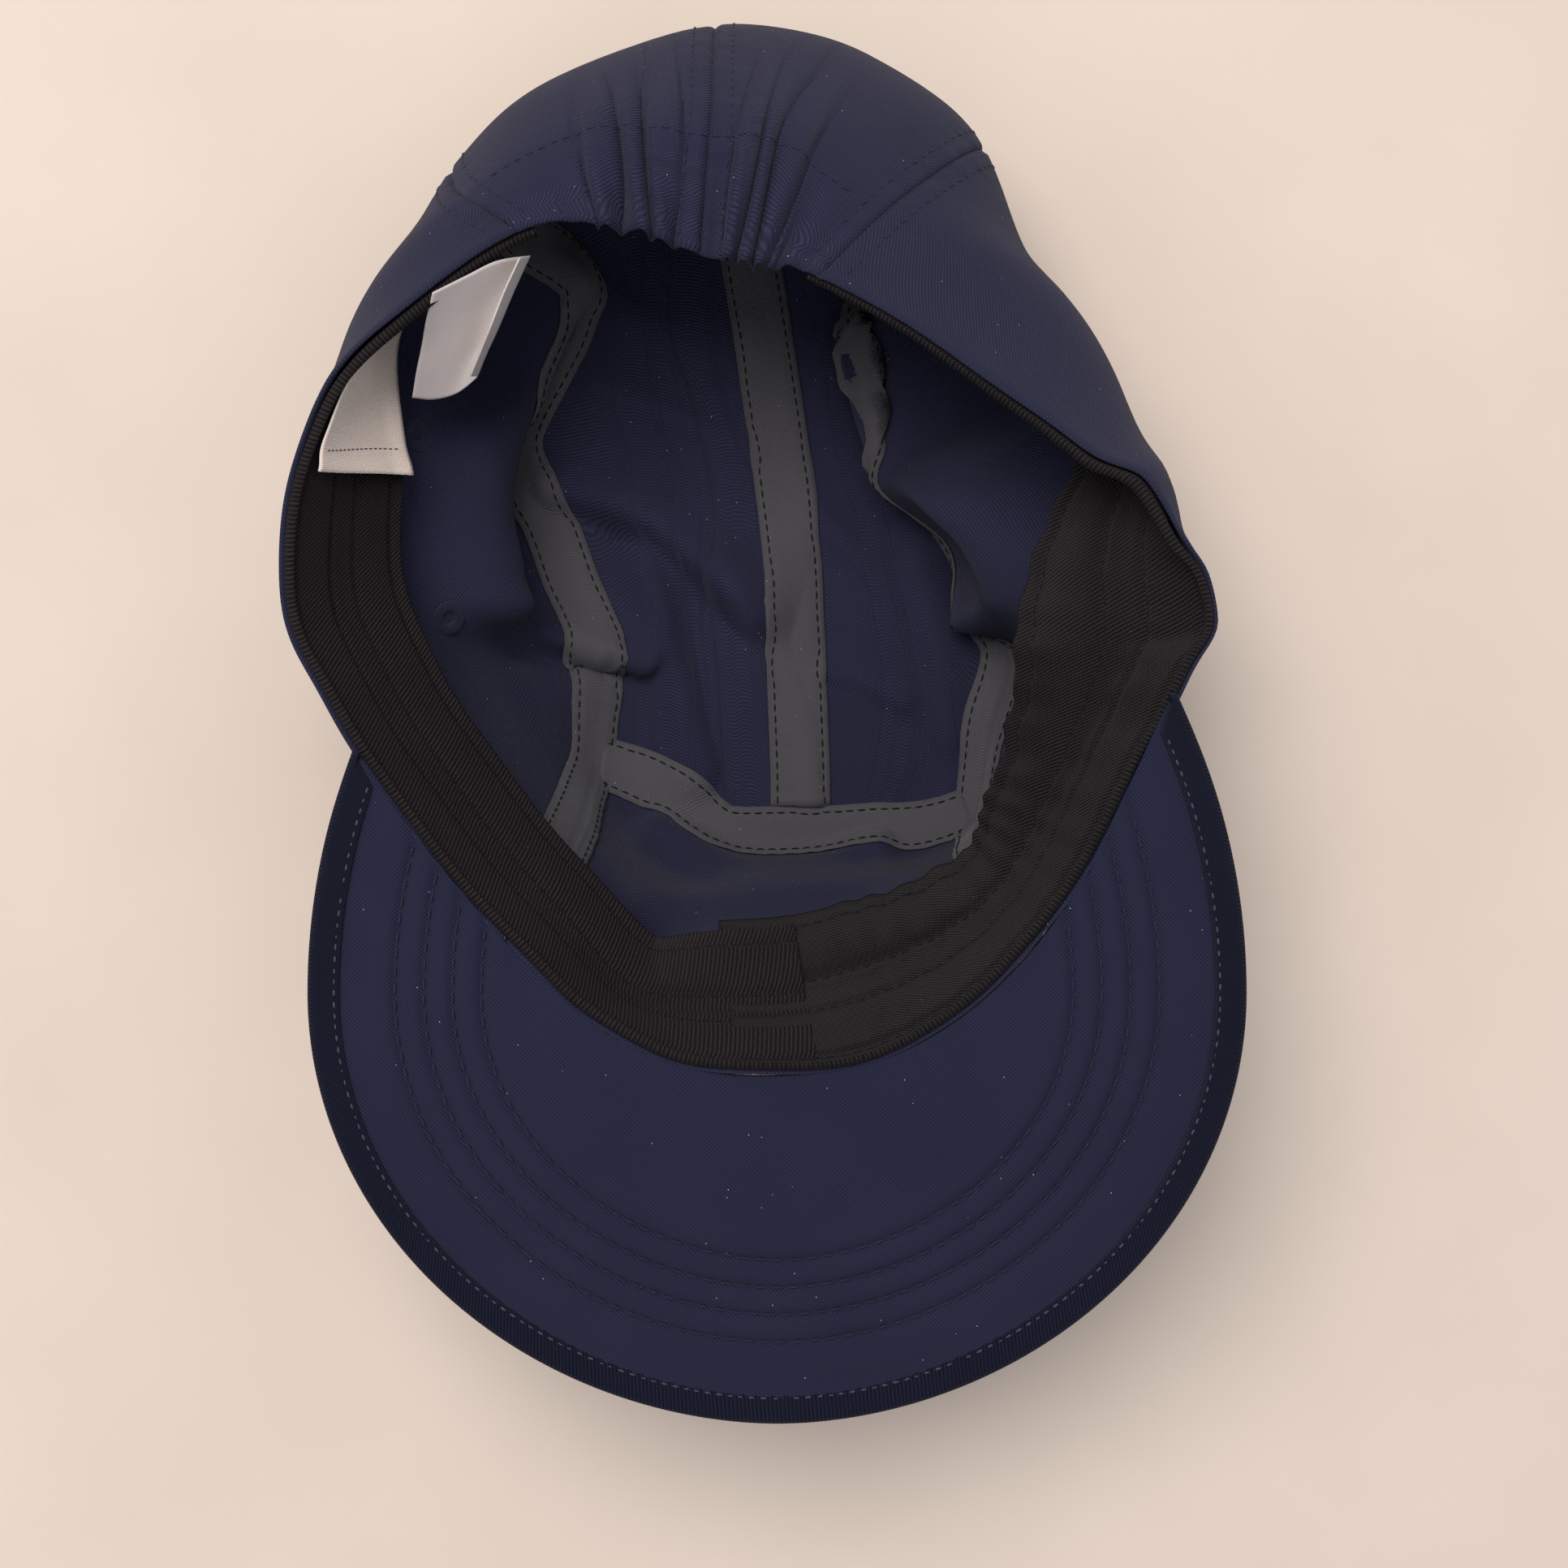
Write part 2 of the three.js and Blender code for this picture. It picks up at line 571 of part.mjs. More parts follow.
function seamTapes() {
  seamTape('seam_tape_left', sideTapeCells(leftGrid, topLeftGrid, 0, true));
  seamTape('seam_tape_right', sideTapeCells(rightGrid, topRightGrid, 2 * HALF_COLUMNS - 1, false));
  seamTape('seam_tape_cross', [
    ...cells(frontGrid, range(1, 2 * HALF_COLUMNS - 1), [WALL_ROWS - 1], false),
    ...cells(topLeftGrid, range(1, HALF_COLUMNS), [TOP_ROWS - 1], true),
    ...cells(topRightGrid, range(1, HALF_COLUMNS), [TOP_ROWS - 1], false),
  ]);
  const run = range(BAND_ROWS, TOP_ROWS - 1);
  seamTape('seam_tape_centre', [
    ...cells(topLeftGrid, [HALF_COLUMNS - 1], run, true),
    ...cells(topRightGrid, [HALF_COLUMNS - 1], run, false),
  ]);
}

// The band is sewn in at the rim and stands off the wall towards its free edge
function bandLift(spot) {
  const { section, inward } = fromDisk(spot);
  const k = Math.floor(section);
  const here = SECTIONS[k % COUNT].bandLift;
  const there = SECTIONS[(k + 1) % COUNT].bandLift;
  const most = here + (there - here) * (section - k);
  return SEW_GAP + BAND_LIFT * most * smooth(0, RINGS.brow, inward);
}

function bandLow(spot) {
  return CLOTH / 2 + SEW_GAP + bandLift(spot);
}

function bandHigh(spot) {
  return bandLow(spot) + BAND_CLOTH;
}

function sweatband() {
  const rows = range(0, BAND_ROWS);
  const cellList = [
    ...cells(frontGrid, FULL, rows, false),
    ...cells(leftGrid, SIDE, rows, true),
    ...cells(rightGrid, SIDE, rows, false),
  ];
  add('sweatband', clothOver(cellList, bandLow, bandHigh, SEAM_INSET), twill);
}

// The peak: a board between the rim and two half ellipses, its columns fanned out from one spot
const PEAK_MIDDLE = new THREE.Vector2(-0.014 * SIDE_REACH, -0.42 * END_REACH);
const PEAK_FAN = new THREE.Vector2(-0.014 * SIDE_REACH, 0.15 * END_REACH);
const PEAK_LEFT_SECTION = 2.85;
const PEAK_RIGHT_SECTION = 14.92;
const PEAK_SINK = 1.2;
const PEAK_SIDE_RISE = 2;
const BINDING_CLEARANCE = 0.25;
const BINDING_END_SHARE = 0.6;
const PEAK_SETTLE = 0.25 * PEAK_LENGTH;
const PEAK_END_MARGIN = 0.1;

function beyondOutline(spot) {
  const across = (spot.x - PEAK_MIDDLE.x) / PEAK_HALF_WIDTH;
  const reach = spot.y < PEAK_MIDDLE.y ? PEAK_LENGTH : PEAK_SHOULDER;
  const along = (spot.y - PEAK_MIDDLE.y) / reach;
  return across * across + along * along > 1;
}

function outlineFrom(inner) {
  const ray = inner.clone().sub(PEAK_FAN).normalize();
  let near = 0;
  let far = 2 * PEAK_LENGTH;
  while (far - near > OUTLINE_PRECISION) {
    const middle = (near + far) / 2;
    if (beyondOutline(inner.clone().addScaledVector(ray, middle))) far = middle;
    else near = middle;
  }
  return inner.clone().addScaledVector(ray, Math.max(near, PEAK_END_WIDTH));
}

// Rim spots that carry the peak, from its left end round the front to its right end
function peakSpots() {
  const leftStart = toDisk(PEAK_LEFT_SECTION, 0);
  const leftEnd = rimLeft.filter((spot) => fromDisk(spot).section < PEAK_LEFT_SECTION - PEAK_END_MARGIN);
  const rightEnd = rimRight.filter((spot) => fromDisk(spot).section > PEAK_RIGHT_SECTION + PEAK_END_MARGIN);
  return [
    leftStart, ...leftEnd.reverse(),
    ...rimFrontLeft.slice(1), ...rimFrontRight.slice(1, -1),
    ...rightEnd, toDisk(PEAK_RIGHT_SECTION, 0),
  ];
}

// One column of the board: its seat on the rim and its outer edge, both at the board's middle
function peakColumn(spot) {
  const rim = crown(spot);
  const normal = measuredNormal(crown, spot);
  const outward = new THREE.Vector3(-normal.x, -normal.y, 0).normalize();
  const seat = rim.clone().addScaledVector(outward, CLOTH / 2 + SEW_GAP);
  seat.z = rim.z - PEAK_SINK;
  const edge = outlineFrom(new THREE.Vector2(seat.x, seat.y));
  const forward = Math.max(0, (PEAK_MIDDLE.y - edge.y) / PEAK_LENGTH);
  const sideways = Math.abs(edge.x - PEAK_MIDDLE.x) / PEAK_HALF_WIDTH;
  const frontHeight = SECTIONS[0].rim[2] * RIM_HEIGHT - PEAK_SINK;
  const height = frontHeight - PEAK_DROOP * forward * forward + PEAK_SIDE_RISE * sideways ** 2;
  const width = Math.hypot(edge.x - seat.x, edge.y - seat.y);
  const settle = smooth(0, PEAK_SETTLE, width);
  const outer = new THREE.Vector3(edge.x, edge.y, seat.z + (height - seat.z) * settle);
  const arm = Math.min(BINDING_WIDTH, width * BINDING_END_SHARE);
  return { seat, outer, arm };
}

// Points of one column from the seat to the board's edge, the last step as wide as the binding
function boardRow({ seat, outer, arm }) {
  const width = seat.distanceTo(outer);
  const boardEnd = 1 - (BINDING_CLOTH + SEW_GAP) / width;
  const stops = [...even(0, 1 - arm / width, PEAK_ROWS - 1), boardEnd];
  return stops.map((share) => seat.clone().lerp(outer, share));
}

function gridNormal(grid, i, j) {
  const before = grid[Math.max(i - 1, 0)][j];
  const after = grid[Math.min(i + 1, grid.length - 1)][j];
  const inner = grid[i][Math.max(j - 1, 0)];
  const outer = grid[i][Math.min(j + 1, grid[i].length - 1)];
  return outer.clone().sub(inner).cross(after.clone().sub(before)).normalize();
}

function gridFaces(columns, rows) {
  const faces = [];
  for (let i = 0; i < columns - 1; i += 1) {
    for (let j = 0; j < rows - 1; j += 1) {
      const id = i * rows + j;
      faces.push([id, id + 1, id + rows + 1, id + rows]);
    }
  }
  return faces;
}

function peakAndBinding() {
  const columns = peakSpots().map(peakColumn);
  const grid = columns.map(boardRow);
  const normals = grid.map((column, i) => column.map((unused, j) => gridNormal(grid, i, j)));
  const shifted = (height) => grid.flatMap((column, i) => column.map(
    (point, j) => point.clone().addScaledVector(normals[i][j], height)));
  const faces = gridFaces(grid.length, PEAK_ROWS + 1);
  const points = [...shifted(-PEAK_BOARD / 2), ...shifted(PEAK_BOARD / 2)];
  const board = closedSolid(points, faces, outlineOf(faces), grid.length * (PEAK_ROWS + 1));
  add('peak', board, peakNavy);

  const rings = columns.map((column, i) => {
    const outward = column.outer.clone().sub(column.seat).normalize();
    return bindingRing(column, outward, normals[i].at(-1));
  });
  add('peak_binding', loftedChannel(rings), ribbed);
}

// The binding's section: a channel open towards the cap, its back on the peak's outline
function bindingRing({ outer, arm }, outward, up) {
  const inside = PEAK_BOARD / 2 + BINDING_CLEARANCE;
  const outside = inside + BINDING_CLOTH;
  const section = [
    [-arm, -outside], [0, -outside], [0, outside], [-arm, outside],
    [-arm, inside], [-BINDING_CLOTH, inside], [-BINDING_CLOTH, -inside], [-arm, -inside],
  ];
  return section.map(([out, high]) => outer.clone()
    .addScaledVector(outward, out).addScaledVector(up, high));
}

function loftedChannel(rings) {
  const size = rings[0].length;
  const indices = [];
  for (let i = 0; i < rings.length - 1; i += 1) {
    for (let k = 0; k < size; k += 1) {
      const a = i * size + k;
      const b = i * size + ((k + 1) % size);
      indices.push(a, a + size, b, b, a + size, b + size);
    }
  }
  const ends = [[0, 1, 6, 7], [1, 2, 5, 6], [2, 3, 4, 5]];
  const last = (rings.length - 1) * size;
  for (const [a, b, c, d] of ends) {
    indices.push(a, b, c, a, c, d);
    indices.push(last + a, last + c, last + b, last + a, last + d, last + c);
  }
  const geometry = new THREE.BufferGeometry();
  geometry.setAttribute('position', new THREE.Float32BufferAttribute(
    rings.flat().flatMap((point) => [point.x, point.y, point.z]), 3));
  geometry.setIndex(indices);
  geometry.computeVertexNormals();
  return geometry;
}

// Labels lie on the band's left back stretch; the care label curls up at its free end
const BRAND_LABEL_COLUMNS = range(8, 12);
const CARE_LABEL_COLUMNS = range(12, 14);
const CARE_LABEL_ROWS = range(0, 5);
const BRAND_LABEL_ROWS = range(0, 3);

function labels() {
  const low = (spot) => bandHigh(spot) + SEW_GAP;
  const high = (spot) => low(spot) + LABEL_CLOTH;
  const brandCells = cells(leftGrid, BRAND_LABEL_COLUMNS, BRAND_LABEL_ROWS, true);
  add('brand_label', clothOver(brandCells, low, high, LABEL_INSET), cream);
  const curl = (spot) => CARE_LABEL_LIFT * smooth(RINGS.brow / 2, RINGS.foot, fromDisk(spot).inward);
  const careCells = cells(leftGrid, CARE_LABEL_COLUMNS, CARE_LABEL_ROWS, true);
  const careLow = (spot) => low(spot) + curl(spot);
  const careHigh = (spot) => high(spot) + curl(spot);
  add('care_label', clothOver(careCells, careLow, careHigh, LABEL_INSET), satin);
}

// Stitched air holes on the inside of the side panels
const EYELETS = [
  { name: 'eyelet_left_front', section: 3.8, inward: 0.33 },
  { name: 'eyelet_left_back', section: 5.3, inward: 0.31 },
  { name: 'eyelet_right_front', section: 14.3, inward: 0.34 },
  { name: 'eyelet_right_back', section: 12.4, inward: 0.28 },
];
const EYELET_GAP = 0.5;

function eyelets() {
  for (const { name, section, inward } of EYELETS) {
    const spot = toDisk(section, inward);
    const normal = measuredNormal(crown, spot);
    const ring = new THREE.TorusGeometry(EYELET_RADIUS, EYELET_CORD, EYELET_CORD_SIDES, EYELET_SIDES);
    add(name, ring, navy);
    const mesh = cap.children.at(-1);
    mesh.quaternion.setFromUnitVectors(new THREE.Vector3(0, 0, 1), normal);
    mesh.position.copy(crown(spot)).addScaledVector(normal, CLOTH / 2 + EYELET_GAP + EYELET_CORD);
  }
}

// The cap stands centred over the origin, on the plane z = 0
function centre() {
  cap.updateMatrixWorld(true);
  const box = new THREE.Box3().setFromObject(cap, true);
  const middle = box.getCenter(new THREE.Vector3());
  cap.position.set(-middle.x, -middle.y, -box.min.z);
  cap.updateMatrixWorld(true);
}

crownPanels();
seamTapes();
sweatband();
peakAndBinding();
labels();
eyelets();
centre();

export default cap;
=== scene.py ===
# %% [markdown]
# # A soft five-panel cap, lying upside down on its crown
# The cap is sewn from five cloth panels, a stiff peak, a band of twill inside the head opening and
# tapes over the seams. The solids of the frame already have each piece's place and size. Here every
# piece gets the fine cloth that a sewing machine leaves: soft folds, gathers, stitches and weave.

# %% Load the frame
import math
import bpy
import numpy as np
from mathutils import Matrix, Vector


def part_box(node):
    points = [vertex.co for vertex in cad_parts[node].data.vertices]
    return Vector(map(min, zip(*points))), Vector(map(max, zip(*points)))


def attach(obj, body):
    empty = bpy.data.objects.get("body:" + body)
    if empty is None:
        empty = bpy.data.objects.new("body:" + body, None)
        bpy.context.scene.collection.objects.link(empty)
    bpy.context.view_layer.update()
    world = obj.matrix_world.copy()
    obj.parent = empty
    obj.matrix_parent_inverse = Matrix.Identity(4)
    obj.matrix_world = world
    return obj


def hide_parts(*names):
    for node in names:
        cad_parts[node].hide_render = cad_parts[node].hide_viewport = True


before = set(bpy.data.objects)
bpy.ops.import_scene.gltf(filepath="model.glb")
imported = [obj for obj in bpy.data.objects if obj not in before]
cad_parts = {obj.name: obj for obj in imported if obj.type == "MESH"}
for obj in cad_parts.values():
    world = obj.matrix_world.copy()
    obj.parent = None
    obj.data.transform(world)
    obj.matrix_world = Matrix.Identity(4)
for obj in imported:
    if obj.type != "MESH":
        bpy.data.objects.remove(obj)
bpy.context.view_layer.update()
MM = 0.001

# %% [markdown]
# ## Sizes
# A pattern cutter keeps a few measures and draws the rest from them. The crown's form is drawn in
# millimetres around the middle of the head opening, so one shift brings it into the frame. The shift
# is read from the binding, whose outline is known: two half ellipses about the peak's middle.

# %% Sizes and the shift into the frame
SIDE_REACH, END_REACH, RIM_HEIGHT = 100.0, 100.0, 80.0
CLOTH = 1.2
TAPE_WIDTH, TAPE_CLOTH = 14.0, 0.7
BAND_WIDTH, BAND_CLOTH = 33.0, 1.2
PEAK_LENGTH, PEAK_SHOULDER, PEAK_HALF_WIDTH = 88.0, 114.0, 94.5
PEAK_BOARD, PEAK_DROOP = 3.0, 9.0
BINDING_WIDTH = 6.5
PEAK_MIDDLE = np.array([-1.4, -42.0])

binding_low, binding_high = (np.array(corner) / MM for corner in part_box("peak_binding"))
SHIFT = np.array([
    (binding_low[0] + binding_high[0]) / 2 - PEAK_MIDDLE[0],
    binding_low[1] - (PEAK_MIDDLE[1] - PEAK_LENGTH),
    0.0,
])
print("shift into the frame, mm", SHIFT.round(2))


def to_frame(points):
    """Millimetres around the head opening to metres in the frame."""
    return (np.asarray(points, float) + SHIFT) * MM


# %% [markdown]
# ## The camera
# The photo looks straight down from half a metre above the floor, with the peak at the bottom. A
# camera without any turn looks down its own -Z with +Y up, so it only has to be placed.

# %% Camera
CAMERA_HEIGHT = 525.0
CAMERA_LENS = 51.15
camera_data = bpy.data.cameras.new("camera")
camera_data.lens = CAMERA_LENS
camera_data.sensor_width = 36.0
camera = bpy.data.objects.new("camera", camera_data)
camera.location = to_frame([0, 0, CAMERA_HEIGHT])
bpy.context.scene.collection.objects.link(camera)
bpy.context.scene.camera = camera
print("camera at", [round(x, 4) for x in camera.location])

# %% [markdown]
# ## Light and floor
# Soft daylight comes from above and a little from the back left: a wide area light makes the broad
# sheen on the wool, a faint one in front eases it, and a pale world fills the hollow. The floor is a
# plain pale ground.

# %% Light, world and floor
def area_light(name, place, aim, size, power, colour):
    data = bpy.data.lights.new(name, "AREA")
    data.shape = "DISK"
    data.size = size
    data.energy = power
    data.color = colour
    light = bpy.data.objects.new(name, data)
    light.location = place
    direction = np.array(aim) - np.array(place)
    flat = math.hypot(direction[0], direction[1])
    turn = math.atan2(direction[1], direction[0]) - math.pi / 2
    light.rotation_euler = (math.atan2(flat, -direction[2]), 0, turn)
    bpy.context.scene.collection.objects.link(light)


area_light("sky_back_left", (-0.33, 0.53, 1.4), (0, 0, 0.03), 1.0, 18.5, (1.0, 0.955, 0.91))
area_light("sky_front", (0.1, -0.55, 1.3), (0, 0.05, 0), 0.9, 0.5, (0.96, 0.97, 1.0))
world = bpy.data.worlds.new("daylight")
world.use_nodes = True
SKY_COLOUR, SKY_STRENGTH = (0.93, 0.94, 1.0, 1), 0.66
world.node_tree.nodes["Background"].inputs["Color"].default_value = SKY_COLOUR
world.node_tree.nodes["Background"].inputs["Strength"].default_value = SKY_STRENGTH
bpy.context.scene.world = world
bpy.context.scene.view_settings.view_transform = "Standard"

FLOOR_HALF = 1.6
floor_mesh = bpy.data.meshes.new("floor")
floor_mesh.from_pydata(
    [(-FLOOR_HALF, -FLOOR_HALF, 0), (FLOOR_HALF, -FLOOR_HALF, 0),
     (FLOOR_HALF, FLOOR_HALF, 0), (-FLOOR_HALF, FLOOR_HALF, 0)], [], [(0, 1, 2, 3)])
floor = bpy.data.objects.new("floor", floor_mesh)
bpy.context.scene.collection.objects.link(floor)
print("lights and floor placed")

# %% [markdown]
# ## Weaves as node groups
# Every cloth here is woven, only the scale and angle change. One node group draws a twill from the
# piece's own coordinates, which are written in millimetres along the cloth, so the threads keep their
# real size on every piece. A second group adds slow changes of tone and the pale specks of lint.

# %% Helpers for shader nodes
def feed(tree, node, inputs):
    """Fills the named sockets: a constant stays on its socket, another node's output is linked."""
    for label, value in inputs.items():
        if isinstance(value, bpy.types.NodeSocket):
            tree.links.new(value, node.inputs[label])
        else:
            node.inputs[label].default_value = value


def add_node(tree, kind, inputs=(), **settings):
    node = tree.nodes.new(kind)
    for key, value in settings.items():
        setattr(node, key, value)
    feed(tree, node, dict(inputs))
    return node


def maths(tree, operation, *values):
    return add_node(tree, "ShaderNodeMath", enumerate(values), operation=operation).outputs[0]


def new_group(name, inputs, outputs):
    group = bpy.data.node_groups.new(name, "ShaderNodeTree")
    for label, kind, value in inputs:
        socket = group.interface.new_socket(label, in_out="INPUT", socket_type=kind)
        if value is not None:
            socket.default_value = value
    for label, kind in outputs:
        group.interface.new_socket(label, in_out="OUTPUT", socket_type=kind)
    return group, group.nodes.new("NodeGroupInput"), group.nodes.new("NodeGroupOutput")


# %% Twill weave group
# per millimetre: how fast the ribs wander, the tone changes and the fuzz changes
WANDER_SCALE, TONE_SCALE, FUZZ_SCALE = 0.7, 0.035, 1.6
# of the cells that could hold a speck of lint, this share stays empty
EMPTY_CELLS = 0.72
def make_twill_group():
    """Diagonal ribs crossed by fine threads: Height for the bump, Shade for the colour, which carries
    painted shade in the low grooves and a painted highlight on the high ribs.
    """
    group, given, out = new_group(
        "Twill weave",
        [("Along", "NodeSocketVector", None), ("Rib spacing mm", "NodeSocketFloat", 0.6),
         ("Rib angle", "NodeSocketFloat", 0.8), ("Thread depth", "NodeSocketFloat", 0.4),
         ("Wander", "NodeSocketFloat", 0.25)],
        [("Height", "NodeSocketFloat"), ("Shade", "NodeSocketFloat")])
    along = given.outputs["Along"]
    turn = add_node(group, "ShaderNodeVectorRotate", {
        "Vector": along, "Angle": given.outputs["Rib angle"]}, rotation_type="Z_AXIS")
    wander = add_node(group, "ShaderNodeTexNoise", {"Scale": WANDER_SCALE, "Vector": along})
    offset = maths(group, "MULTIPLY", wander.outputs[0], given.outputs["Wander"])
    split = add_node(group, "ShaderNodeSeparateXYZ", {"Vector": turn.outputs[0]})
    full_turn = maths(group, "DIVIDE", 2 * math.pi, given.outputs["Rib spacing mm"])
    rib_place = maths(group, "ADD", split.outputs["X"], offset)
    rib = maths(group, "SINE", maths(group, "MULTIPLY", rib_place, full_turn))
    thread = maths(group, "SINE", maths(group, "MULTIPLY", split.outputs["Y"], full_turn))
    threads = maths(group, "MULTIPLY", thread, given.outputs["Thread depth"])
    height = maths(group, "ADD", rib, threads)
    feed(group, out, {"Height": height, "Shade": maths(group, "MULTIPLY_ADD", height, 0.5, 0.5)})
    return group


TWILL = make_twill_group()
print("group", TWILL.name, "made")


# %% Wear and lint group
def make_lint_group():
    """Slow tone over the cloth, and sparse pale specks caught in the wool."""
    group, given, out = new_group(
        "Tone and lint",
        [("Along", "NodeSocketVector", None), ("Lint size per mm", "NodeSocketFloat", 0.45),
         ("Lint share", "NodeSocketFloat", 0.06)],
        [("Tone", "NodeSocketFloat"), ("Lint", "NodeSocketFloat"), ("Fuzz", "NodeSocketFloat")])
    along = given.outputs["Along"]
    tone = add_node(group, "ShaderNodeTexNoise", {"Scale": TONE_SCALE, "Detail": 4, "Vector": along})
    fuzz = add_node(group, "ShaderNodeTexNoise", {"Scale": FUZZ_SCALE, "Detail": 3, "Vector": along})
    cells = add_node(group, "ShaderNodeTexVoronoi", {
        "Vector": along, "Scale": given.outputs["Lint size per mm"]}, feature="F1")
    near = maths(group, "LESS_THAN", cells.outputs["Distance"], given.outputs["Lint share"])
    chosen = add_node(group, "ShaderNodeSeparateXYZ", {"Vector": cells.outputs["Color"]})
    rare = maths(group, "GREATER_THAN", chosen.outputs[0], EMPTY_CELLS)
    feed(group, out, {"Tone": tone.outputs[0], "Lint": maths(group, "MULTIPLY", near, rare),
                      "Fuzz": fuzz.outputs[0]})
    return group


LINT = make_lint_group()
print("group", LINT.name, "made")

# %% [markdown]
# ## The cloths
# Navy wool, a charcoal cotton tape, a black twill band, two label ribbons and three threads. They
# share one recipe:
# the weave lifts a bump and paints the colour darker in its grooves and lighter on its ribs, partly the
# threads' own tone and partly painted shade and painted highlight; the tone group keeps large areas
# from looking flat, and a constant sheen gives the soft bloom that wool shows at a grazing angle.

# %% Cloth materials
PALER, DEEPER = 1.25, 0.75
FUZZ_SHARE, TONE_SHARE = 0.45, 0.5
SHEEN_ROUGHNESS, BUMP_STRENGTH = 0.4, 0.8


def new_material(name):
    material = bpy.data.materials.new(name)
    material.use_nodes = True
    return material, material.node_tree, material.node_tree.nodes["Principled BSDF"]


def mix_colour(tree, share, low, high):
    """A share of high in low; each colour is three numbers or another node's output."""
    low, high = ((*c, 1.0) if isinstance(c, tuple) else c for c in (low, high))
    return add_node(tree, "ShaderNodeMix", {0: share, 6: low, 7: high}, data_type="RGBA").outputs[2]


def cloth(name, dark, light, spacing, angle, bump, sheen=0.2, rough=0.85, thread=0.4,
          wander=0.25, lint_share=0.05, lint_colour=(0.35, 0.35, 0.38), gloss=0.2):
    """Colours of its grooves and ribs, the darker one carrying painted shade and the lighter one a painted
    highlight; rib spacing in mm, rib angle and bump height in mm.
    """
    material, tree, shader = new_material(name)
    along = add_node(tree, "ShaderNodeUVMap", uv_map="cloth_mm").outputs[0]
    weave = add_node(tree, "ShaderNodeGroup", {
        "Rib spacing mm": spacing, "Rib angle": angle, "Thread depth": thread, "Wander": wander,
        "Along": along}, node_tree=TWILL).outputs
    wear = add_node(tree, "ShaderNodeGroup", {"Lint share": lint_share, "Along": along},
                    node_tree=LINT).outputs
    pale = tuple(min(1.0, PALER * channel) for channel in light)
    deep = tuple(DEEPER * channel for channel in dark)
    # painted shade and highlight: the colour runs from dark in the grooves to light on the ribs, by the
    # weave's height
    woven = mix_colour(tree, weave["Shade"], dark, light)
    fuzzed = mix_colour(tree, maths(tree, "MULTIPLY", wear["Fuzz"], FUZZ_SHARE), woven, pale)
    toned = mix_colour(tree, maths(tree, "MULTIPLY", wear["Tone"], TONE_SHARE), fuzzed, deep)
    relief = add_node(tree, "ShaderNodeBump", {
        "Distance": bump * MM, "Strength": BUMP_STRENGTH, "Height": weave["Height"]})
    feed(tree, shader, {
        "Sheen Weight": sheen, "Sheen Roughness": SHEEN_ROUGHNESS, "Specular IOR Level": gloss,
        "Base Color": mix_colour(tree, wear["Lint"], toned, lint_colour),
        "Roughness": maths(tree, "MULTIPLY_ADD", weave["Shade"], -0.1, rough),
        "Normal": relief.outputs[0]})
    return material


def thread(name, dark, light, **more):
    return cloth(name, dark, light, 0.3, 0.6, 0.05, lint_share=0.0, **more)


NAVY = cloth("navy wool", (0.007, 0.0078, 0.022), (0.0245, 0.0248, 0.06), 0.58, 0.8, 0.09, sheen=0.05)
PEAK_NAVY = cloth("peak wool", (0.008, 0.009, 0.024), (0.019, 0.02, 0.049), 0.6, 2.35, 0.07,
                  sheen=0.06, gloss=0.14)
RIBBED = cloth("ribbed binding", (0.002, 0.0024, 0.0065), (0.013, 0.0145, 0.034), 0.83, 0.0, 0.2,
               sheen=0.04, gloss=0.08, thread=0.12, wander=0.15, lint_share=0.02)
TWILL_BAND = cloth("band twill", (0.0015, 0.0012, 0.0013), (0.038, 0.0305, 0.0325), 0.8, 0.5, 0.42,
                   sheen=0.03, gloss=0.05, rough=0.75, thread=0.2, lint_share=0.03)
TAPE = cloth("seam tape", (0.042, 0.04, 0.045), (0.088, 0.084, 0.094), 0.45, 0.8, 0.05, sheen=0.12)
LABEL = cloth("woven label", (0.7, 0.57, 0.49), (0.86, 0.73, 0.64), 0.4, 0.0, 0.04, sheen=0.1,
              lint_share=0.0, lint_colour=(0.6, 0.55, 0.5))
SATIN = cloth("satin ribbon", (0.5, 0.44, 0.42), (0.62, 0.56, 0.54), 0.3, 1.57, 0.015, sheen=0.1,
              rough=0.42, lint_share=0.0)
THREAD = thread("navy thread", (0.007, 0.008, 0.02), (0.026, 0.029, 0.062), sheen=0.08)
DARK_THREAD = thread("dark thread", (0.004, 0.004, 0.006), (0.012, 0.012, 0.019), sheen=0.04, gloss=0.1)
PALE_THREAD = thread("grey blue thread", (0.03, 0.034, 0.055), (0.07, 0.078, 0.115))
print("cloths made:", len(bpy.data.materials))


# %% Floor material
def floor_material():
    material, tree, shader = new_material("pale floor")
    place = add_node(tree, "ShaderNodeTexCoord").outputs["Object"]
    cloud = add_node(tree, "ShaderNodeTexNoise", {"Scale": 14, "Detail": 8, "Vector": place})
    colour = mix_colour(tree, cloud.outputs[0], (0.61, 0.515, 0.435), (0.71, 0.605, 0.52))
    feed(tree, shader, {"Roughness": 0.9, "Specular IOR Level": 0.15, "Base Color": colour})
    return material


floor_mesh.materials.append(floor_material())

# %% [markdown]
# ## The crown's form
# The crown is one bag, cut later into five panels. Eighteen sections run from the rim of the head
# opening down the wall, under the crown and to its middle, as spokes of a wheel. A smooth curve runs
# along each spoke and another joins the spokes, so a spot on a flat disk becomes a point of the bag:
# its angle picks the spoke and its distance from the circle how far in it lies.

# %% Sections of the crown
RING_AT = np.array([0, 0.19, 0.36, 0.54, 0.77, 1.0, 1.23])
FOOT_AT = 0.54
MIDDLE = (0.01, 0.62, 0)
